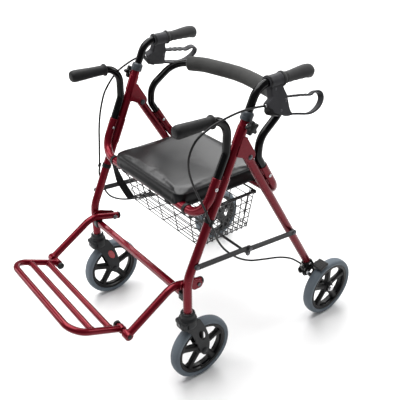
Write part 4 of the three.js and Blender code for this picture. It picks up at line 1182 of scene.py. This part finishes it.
def seat_ring(x, half_width, wall):
    return lathe([(13.2, 0), (13.2 + wall - 0.6, 0), (13.2 + wall, 0.6), (13.2 + wall, 2 * half_width - 0.6),
                  (13.2 + wall - 0.6, 2 * half_width), (13.2, 2 * half_width)],
                 vec(x - half_width, HINGE.y, HINGE.z), vec(1, 0, 0), 44, closed=True)


board_outline = rounded_box_outline(-SEAT_HALF + 4, SEAT_HALF - 4, HINGE.y + 15, SEAT_REAR - 4, 10, 6)
board = [flat(board_outline, (), 11.4, 1.6, vec(0, 0, SEAT_UNDER), XY_AXES)]
for x in (-105, -35, 35, 105):
    board.append(flat(rounded_box_outline(x - 3, x + 3, -72, SEAT_REAR - 46, 2.5, 4), (), 3.4, 0.9,
                      vec(0, 0, SEAT_UNDER - 3), XY_AXES))
for y in (-50, 30, 120):
    board.append(flat(rounded_box_outline(-150, 150, y - 3, y + 3, 2.5, 4), (), 3.0, 0.9,
                      vec(0, 0, SEAT_UNDER - 2.6), XY_AXES))
for x in (110, -110):
    board.append(seat_ring(x, 10, 2))
    board.append(flat(rounded_box_outline(x - 10, x + 10, HINGE.y + 13.6, -74, 3, 4), (), 5.6, 0.8,
                      vec(0, 0, SEAT_UNDER - 2.6), XY_AXES))
make("seat_board_black", board, "seat", BOARD, ["seat_pan"], "black_plastic")
screws = []
for x in (110, -110):
    for y in (-90, -80):
        screws.append(dome(vec(x, y, SEAT_UNDER - 2.6), vec(0, 0, -1), 3.2, 1.6, 20))
make("seat_screws", screws, "seat", STEEL)

# ---------------------------------------------------------------- basket
RIM_Z, FLOOR_Z = 505, 387
RIM_BOX, FLOOR_BOX = (-190, 190, -88, 140), (-178, 178, -65, 128)
WALL_R = 22
WIRE_R = 1.5


def wall_outline(z, inset):
    """The basket's outline at a height, as points."""
    t = (z - FLOOR_Z) / (RIM_Z - FLOOR_Z)
    box = [a + (b - a) * t for a, b in zip(FLOOR_BOX, RIM_BOX)]
    outline = rounded_box_outline(box[0] + inset, box[1] - inset, box[2] + inset, box[3] - inset,
                                  WALL_R - inset, 8)
    return [vec(x, y, z) for x, y in outline]


def u_wire(top_a, low_a, low_b, top_b, radius, loops):
    """Wire down one wall, across the floor and up the other, with small loops at the turns."""
    path = bent([top_a, low_a, low_b, top_b], 7, 5)
    shapes = [sweep(path, circle(radius, 8))]
    if loops:
        for corner, inward in ((low_a, (low_b - low_a).normalized()), (low_b, (low_a - low_b).normalized())):
            ring = [corner + inward * (5.0 + 5.6 * math.cos(2 * math.pi * k / 16))
                    + vec(0, 0, -2.4 + 5.6 * math.sin(2 * math.pi * k / 16)) for k in range(16)]
            shapes.append(sweep(ring, circle(radius * 0.9, 6), closed=True))
    return shapes


wires = [sweep(wall_outline(RIM_Z - 2.8, 2.6), circle(2.6, 14), closed=True),
         sweep(wall_outline(FLOOR_Z + 2.2, 2.0), circle(1.5, 10), closed=True)]
for z in (421, 449, 477):
    wires.append(sweep(wall_outline(z, 1.6), circle(1.4, 8), closed=True))
for n in range(-2, 3):
    x = n * 80.0
    low_x = FLOOR_BOX[1] * (x / RIM_BOX[1])
    wires += u_wire(vec(x, RIM_BOX[2] + 2, RIM_Z - 2), vec(low_x, FLOOR_BOX[2] + 2, FLOOR_Z + 1.4),
                    vec(low_x, FLOOR_BOX[3] - 2, FLOOR_Z + 1.4), vec(x, RIM_BOX[3] - 2, RIM_Z - 2),
                    WIRE_R, False)
for n in range(10):
    y = -73 + n * 22.0
    low_y = 31.5 + 96.5 * (y - 26) / 114
    wires += u_wire(vec(RIM_BOX[0] + 2, y, RIM_Z - 2), vec(FLOOR_BOX[0] + 2, low_y, FLOOR_Z + 3.6),
                    vec(FLOOR_BOX[1] - 2, low_y, FLOOR_Z + 3.6), vec(RIM_BOX[1] - 2, y, RIM_Z - 2),
                    WIRE_R, True)
make("basket_wires", wires, "basket", WIRE, ["basket"], "wire")
hooks = []
neck = HINGE.y + 9
hook_outline = rounded([(neck + 0.4, 499), (-75, 499), (-75, 505), (neck + 10, 505), (neck + 8, 520),
                        (neck + 5.5, 530), (neck + 2.4, 527), (neck + 0.4, 518)], 1.6)
for x in (182, -182):
    hooks.append(lathe([(13.2, 0), (14.8, 0), (14.8, 10), (13.2, 10)], vec(x - 5, HINGE.y, HINGE.z),
                       vec(1, 0, 0), 40, closed=True))
    hooks.append(plate_x(hook_outline, x - 5, x + 5, bevel=0.6))
    clasp = rounded_box_outline(x - 9, x + 7, 124, 138, 4, 4)
    hooks.append(flat(clasp, (), 8, 1.2, vec(0, 0, 497), XY_AXES))
for x in (186, -186):
    hooks.append(sweep([vec(x, -66, 506.4), vec(x, 20, 507.4), vec(x, 116, 506.4)], circle(2.2, 10)))
    hooks.append(sweep([vec(x - math.copysign(5, x), 112, 500), vec(x - math.copysign(14, x), 106, 430)],
                       circle(2.1, 10)))
make("basket_clips", hooks, "basket", BLACK_PLASTIC, slot="black_plastic")

# ---------------------------------------------------------------- fold strap
STRAP_X = -212
STRAP_SLANT = 16  # how far its lower end stands towards the middle of the frame
STRAP_TWIST = 65  # degrees the band turns about its own line at mid length


def strap():
    """Woven strap from the front seat tube to the cross rod: a flat band with stitched edges, half turned."""
    route = bent([vec(STRAP_X, -102.5, 518), vec(STRAP_X, -84, 440), vec(STRAP_X, -52, 371),
                  vec(STRAP_X, 30, 361)], [60, 14], 8)
    fine = []
    for a, b in zip(route, route[1:]):
        steps = max(1, round((b - a).length / 5))
        fine += [a.lerp(b, k / steps) for k in range(steps)]
    fine.append(route[-1])
    shapes = []
    ring_path = []
    for n, p in enumerate(fine):
        ahead = (fine[min(n + 1, len(fine) - 1)] - fine[max(n - 1, 0)]).normalized()
        out = ahead.cross(vec(1, 0, 0)).normalized()
        share = n / (len(fine) - 1)
        p = p + vec(STRAP_SLANT * share, 0, 0)
        turn = math.radians(STRAP_TWIST) * math.sin(math.pi * share) ** 2
        across = vec(1, 0, 0) * math.cos(turn) - out * math.sin(turn)
        ring_path.append((p, across, ahead.cross(across).normalized()))
    section = rounded([(-12, -1.3), (12, -1.3), (12, 1.3), (-12, 1.3)], 0.9, 3)
    shapes.append(loft([[p + across * a + out * b for a, b in section] for p, across, out in ring_path]))
    for edge in (-10.2, 10.2):
        for face in (-1.3, 1.3):
            shapes.append(sweep([p + across * edge + out * face for p, across, out in ring_path],
                                circle(0.45, 6)))
    return shapes


band = make("fold_strap_webbing", strap(), None, WEBBING, ["fold_strap"], "webbing")
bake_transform(band)

# ---------------------------------------------------------------- wheels and casters


# (distance from the axle, half width, half depth)
SPOKE_SIZES = ((14, 9.5, 8.6), (24, 7.0, 8.2), (40, 6.2, 7.4), (60, 7.6, 7.8), (68, 9.8, 9.5), (75, 13, 11.5))


def wheel_parts(x, centre):
    """Tyre and five-spoke rim, both about the axle at x."""
    c = vec(x, centre.y, centre.z)
    side = vec(1, 0, 0)
    profile = [(83.4, -14), (86, -14.6), (90.6, -15.9), (93.5, -15.8), (96.2, -14.0), (98.4, -10.6),
               (99.5, -6.2), (99.8, -1.4), (100.0, -0.7), (100.0, 0.7), (99.8, 1.4), (99.5, 6.2),
               (98.4, 10.6), (96.2, 14.0), (93.5, 15.8), (90.6, 15.9), (86, 14.6), (83.4, 14)]
    tyre = [lathe(profile, c, side, 120, closed=True)]
    for s in (-1, 1):
        tyre.append(lathe([(87.0, s * 14.4), (87.8, s * 15.5), (88.8, s * 15.9), (89.6, s * 15.5),
                           (89.4, s * 14.6)], c, side, 120, closed=True))
    rim = [lathe([(74, -13), (76, -13.6), (80.5, -13.6), (83, -12.4), (83, 12.4), (80.5, 13.6), (76, 13.6),
                  (74, 13), (73.4, 8), (74.6, 0), (73.4, -8)], c, side, 120, closed=True)]
    windows = []
    for n in range(5):
        middle = 2 * math.pi * (n + 0.5) / 5 + math.pi / 2
        hole = []
        for radius, spreads in ((25, (-0.16, 0, 0.16)), (69.5, (0.485, 0.24, 0, -0.24, -0.485))):
            for spread in spreads:
                reach = radius + (1.2 if spread == 0 and radius > 50 else 0)
                hole.append((centre.y + reach * math.cos(middle + spread),
                             centre.z + reach * math.sin(middle + spread)))
        windows.append(rounded(hole, 6, 4))
    disc = [(centre.y + 76 * math.cos(2 * math.pi * k / 96), centre.z + 76 * math.sin(2 * math.pi * k / 96))
            for k in range(96)]
    rim.append(plate_x(disc, x - 4.2, x + 4.2, windows, bevel=1.2))
    spoke_section = rounded([(-1, -0.8), (-0.35, -1), (0.35, -1), (1, -0.8), (1, 0.8), (0.35, 1), (-0.35, 1),
                             (-1, 0.8)], 0.2, 2)
    for n in range(5):
        angle = 2 * math.pi * n / 5 + math.pi / 2
        out = vec(0, math.cos(angle), math.sin(angle))
        flank = vec(0, -math.sin(angle), math.cos(angle))
        ring = []
        for radius, wide, deep in SPOKE_SIZES:
            p = c + out * radius
            ring.append([p + flank * (wide * a) + side * (deep * b) for a, b in spoke_section])
        rim.append(loft(ring))
    rim.append(lathe([(5.8, -17.4), (12.5, -17.4), (14, -16.4), (15, -12), (19, -9.4), (21, -8), (21, 8),
                      (19, 9.4), (15, 12), (14, 16.4), (12.5, 17.4), (5.8, 17.4)], c, side, 56, closed=True))
    bearing = [washer(c + side * (s * 17.2), side * s, 5.9, 10.6, 0.9) for s in (-1, 1)]
    valve = c + vec(0, 0, -72)
    rim.append(pin(valve + side * 4, valve + side * 9, 2.4))
    return tyre, rim, bearing


for name, x, centre in (("front", FRAME_X, CASTER_AXLE), ("rear", REAR_WHEEL_X, REAR_AXLE)):
    tyre, rim, bearing = wheel_parts(x, centre)
    body = name + "_wheel_{}"
    pair(name + "_tyre_rubber", tyre, body, TYRE, [name + "_tyre"], "tyre")
    pair(name + "_rim_nylon", rim, body, RIM_BLACK, [name + "_rim"], "black_plastic")
    pair(name + "_bearing", bearing, body, STEEL)

stem = vec(FRAME_X, LEG_Y, 0)


def fork_oval(half_length, half_width, count):
    """Leaning oval in the middle of the fork's cheek, as (y, z) points."""
    lean = math.radians(115)
    made = []
    for k in range(count):
        turn = 2 * math.pi * k / count
        a, b = half_length * math.cos(turn), half_width * math.sin(turn)
        made.append((-127.5 + a * math.cos(lean) - b * math.sin(lean),
                     162 + a * math.sin(lean) + b * math.cos(lean)))
    return made


def fork_blade(side):
    """Tapering cheek with an oval window."""
    outline = rounded([(-190, 229), (-189, 214), (-167, 186), (-155, 162), (-144, 134), (-134, 106),
                       (-127, 88), (-118, 80), (-108, 82), (-101, 95), (-99, 118), (-104, 152), (-114, 183),
                       (-128, 212), (-136, 229)], 9, 6)
    x0, x1 = stem.x + side * 18, stem.x + side * 22.4
    return [plate_x(outline, x0, x1, [fork_oval(20.5, 9.8, 28)], bevel=1.6)]


fork = [*fork_blade(1), *fork_blade(-1)]
housing = [(0, 206), (17, 206), (23.5, 207), (25.6, 210), (26, 216), (26, 231), (24.8, 234.6),
           (21.6, 236.4), (20.6, 238), (21, 239.6), (21, 248.4), (20.2, 250.6), (18, 252.6), (15.4, 253.5),
           (14.6, 253.2), (0, 253.2)]
fork.append(lathe(housing, vec(stem.x, stem.y, 0), vec(0, 0, 1), 56))
crown_top = [(x, y) for x, y in rounded_box_outline(-22.4, 22.4, -29, 24, 12, 6)]
crown_rows = ((204, 0.92), (206, 0.98), (209, 1.0), (224, 1.0), (228, 0.97), (230.5, 0.88))
fork.append(loft([[stem + vec(x * w, y * w, z) for x, y in crown_top] for z, w in crown_rows]))
boss = vec(stem.x, stem.y - 26, 219)
fork.append(lathe([(0, -8), (9.4, -8), (9.4, 1.5), (8.4, 3.2), (6, 4), (0, 4)], boss, vec(0, -1, 0), 32))
pair("caster_fork_charcoal", fork, "caster_{}", CHARCOAL, ["caster_fork"], "black_plastic", sharp=45)
pair("caster_ring", [
    washer(vec(stem.x, stem.y, 252.9), vec(0, 0, 1), 11, 14.4, 0.9),
    pin(vec(stem.x, stem.y, 252), vec(stem.x, stem.y, 280), 5),
    pin(vec(CASTER_AXLE.x + stem.x - 24.6, CASTER_AXLE.y, CASTER_AXLE.z),
        vec(CASTER_AXLE.x + stem.x + 24.6, CASTER_AXLE.y, CASTER_AXLE.z), 4.6),
], "caster_{}", STEEL)
pair("caster_axle_caps", [
    lathe([(0, 0), (9.4, 0), (9.4, 1.6), (8.2, 3.2), (5, 4.2), (0, 4.4)],
          vec(stem.x + side * 22.2, CASTER_AXLE.y, CASTER_AXLE.z), vec(side, 0, 0), 32) for side in (1, -1)
], "caster_{}", CHARCOAL, slot="black_plastic")
pair("caster_boss_screw", [dome(boss + vec(0, -3.9, 0), vec(0, -1, 0), 4.2, 1.3, 20)], "caster_{}",
     DARK_STEEL)
make("caster_insert_right",
     [plate_x(fork_oval(20.3, 9.6, 32), -FRAME_X + 18.2, -FRAME_X + 22.8, bevel=0.8)], "caster_right",
     RED_INSERT)

# ---------------------------------------------------------------- footrest
arm_path = [vec(FOOT_ARM_X, -97, 312), vec(FOOT_ARM_X, -190, 338), vec(FOOT_ARM_X, -338, 246)]
pair("footrest_arm_red", [
    tube(arm_path, ROD_R, 60, sides=36),
    pin_x(FOOT_HINGE.y, FOOT_HINGE.z, 170, FOOT_ARM_X + 9, 6),
    lathe([(0, 0), (10.4, 0), (12.6, 1.2), (12.6, 19), (11.4, 20.4), (11.4, 22), (0, 22)],
          vec(FOOT_ARM_X - 12, FOOT_HINGE.y, FOOT_HINGE.z), vec(1, 0, 0), 36),
], "footrest_arms", RED, ["footrest_arm"], "red_paint")
pair("footrest_arm_caps", [
    lathe([(0, 0), (9.6, 0), (10.4, 0.8), (10.4, 6.4), (9.6, 7.4), (0, 7.6)],
          vec(169.6, FOOT_HINGE.y, FOOT_HINGE.z), vec(-1, 0, 0), 32),
    dome(vec(FOOT_ARM_X + 10, FOOT_HINGE.y, FOOT_HINGE.z), vec(1, 0, 0), 6.6, 2),
    lathe([(0, -0.4), (11.9, -0.4), (11.9, 4), (10.6, 6.2), (0, 7)], arm_path[0],
          (arm_path[0] - arm_path[1]), 36),
], "footrest_arms", BLACK_PLASTIC, slot="black_plastic")
rear_point = vec(188, FOOT_HINGE.y, FOOT_HINGE.z)
front_point = vec(191, FOOT_FRONT.y, FOOT_FRONT.z)
plate_parts = [tube([rear_point, front_point, flip(front_point), flip(rear_point)], 9.5, 48, sides=32)]
weld_rows = []
for share in (0.22, 0.6):
    p = rear_point.lerp(front_point, share)
    plate_parts.append(tube([p, flip(p)], 8.5, sides=32))
    for sign in (1, -1):
        ring = []
        for k in range(13):
            turn = 2 * math.pi * k / 12
            ring.append(vec(sign * (p.x - 9.0 + 0.9 * math.cos(2 * turn)), p.y + 8.4 * math.cos(turn),
                            p.z + 8.4 * math.sin(turn)))
        weld_rows.append(weld(ring, 1.7))
for sign in (1, -1):
    plate_parts.append(lathe([(6.9, 0), (10.8, 0), (11.5, 0.8), (11.5, 17.2), (10.8, 18), (6.9, 18)],
                             vec(sign * 188 - 9, FOOT_HINGE.y, FOOT_HINGE.z), vec(1, 0, 0), 40, closed=True))
make("footplate_red", plate_parts, "footplate", RED, ["footplate"], "red_paint")
make("footplate_weld", weld_rows, "footplate", WELD, slot="red_paint")

# ---------------------------------------------------------------- brake cables
LEFT_UPPER = [CABLE_EXIT, vec(269.5, 50, 806), vec(272.5, -12, 810), vec(274.5, -70, 803.5),
              vec(274.5, -113, 792), vec(272.5, -149, 770.5), vec(269, -166, 734), vec(266, -165, 698),
              vec(264, -153, 658), vec(264, -136, 617), vec(264.5, -120, 582), vec(266.5, -106, 545),
              vec(267.5, -97, 521)]
LEFT_LOWER = [vec(267.5, -96.5, 519.5), vec(266.5, -84, 492), vec(259, -70, 462), vec(255, -44, 419),
              vec(253, -11, 381), vec(252, 23, 351), vec(252, 66, 325), vec(252, 121, 305),
              vec(252, 190, 281), vec(253, 239, 255), vec(254.5, 272, 228), CABLE_END]
RIGHT_UPPER = [flip(p) for p in (
    CABLE_EXIT, vec(268.5, 40, 802), vec(269, 4, 790.5), vec(268, -36, 770), vec(267, -78, 724),
    vec(265, -93, 693), vec(264, -105, 652), vec(263.5, -112, 610), vec(264, -116, 560),
    vec(266.5, -119, 510), vec(267.5, -120, 486))]
RIGHT_LOWER = [flip(p) for p in (
    vec(267.5, -120, 484.5), vec(267.5, -124, 458), vec(265, -122, 438), vec(258.5, -117, 414),
    vec(256.5, -112, 392), vec(254, -98, 370), vec(252, -69, 350), vec(252, -33, 336), vec(252, 5, 327),
    vec(252, 44, 319), vec(252, 120, 303), vec(252, 190, 281), vec(253, 239, 255), vec(254.5, 272, 228),
    CABLE_END)]


def brake_cable(name, route, node):
    sleeve = make(name, [sweep(spline(route, 10), circle(2.9, 16))], None, CABLE, [node], "cable")
    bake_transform(sleeve)


for side, upper, lower in (("left", LEFT_UPPER, LEFT_LOWER), ("right", RIGHT_UPPER, RIGHT_LOWER)):
    brake_cable("cable_upper_" + side + "_sleeve", upper, "cable_upper_" + side)
    brake_cable("cable_lower_" + side + "_sleeve", lower, "cable_lower_" + side)
    clip = upper[-1]
    sign = 1 if side == "left" else -1
    leg = front_leg(clip.z)
    leg.x *= sign
    make("cable_clip_" + side, [
        lathe([(12.9, -6), (14.2, -6), (14.4, -5.4), (14.4, 5.4), (14.2, 6), (12.9, 6)], leg, FRONT_LEAN, 40,
              closed=True),
        lathe([(2.6, -6), (4.3, -6), (4.6, -5.4), (4.6, 5.4), (4.3, 6), (2.6, 6)], clip, FRONT_LEAN, 24,
              closed=True),
    ], "frame", BLACK_PLASTIC, slot="black_plastic")

# ---------------------------------------------------------------- stage
floor_material = finish("floor", (0.90, 0.90, 0.90), (0.92, 0.92, 0.92), (0.55, 0.7), grain=0.02,
                        grain_scale=40, patch=1.5)
floor_mesh = bpy.data.meshes.new("floor")
floor_mesh.from_pydata([(-8, -8, 0), (8, -8, 0), (8, 8, 0), (-8, 8, 0)], [], [(0, 1, 2, 3)])
floor_mesh.materials.append(floor_material)
floor = bpy.data.objects.new("floor", floor_mesh)
floor.location.z = -0.0005
bpy.context.scene.collection.objects.link(floor)


def softbox(name, place, size, power, target=(0, 0, 0.4)):
    data = bpy.data.lights.new(name, "AREA")
    data.shape = "RECTANGLE"
    data.size, data.size_y = size
    data.energy = power
    light = bpy.data.objects.new(name, data)
    light.location = place
    light.rotation_mode = "QUATERNION"
    light.rotation_quaternion = (Vector(target) - Vector(place)).to_track_quat("-Z", "Y")
    bpy.context.scene.collection.objects.link(light)


softbox("top", (-0.5, -0.4, 3.1), (2.6, 2.6), 120, (0, 0, 0))
softbox("left", (-2.3, -2.0, 1.7), (0.6, 2.2), 22)
softbox("back", (0.9, 2.4, 1.9), (1.2, 0.8), 22)
softbox("sheen", (-1.8, 2.15, 2.0), (1.3, 1.0), 7, (0, 0, 0.55))
softbox("far", (-3.6, 3.2, 4.2), (5.0, 5.0), 420, (-4.2, 3.6, 0))
world = bpy.data.worlds.new("studio")
world.use_nodes = True
world.node_tree.nodes["Background"].inputs["Color"].default_value = (1, 1, 1, 1)
world.node_tree.nodes["Background"].inputs["Strength"].default_value = 0.2
bpy.context.scene.world = world
bpy.context.scene.view_settings.view_transform = "Standard"
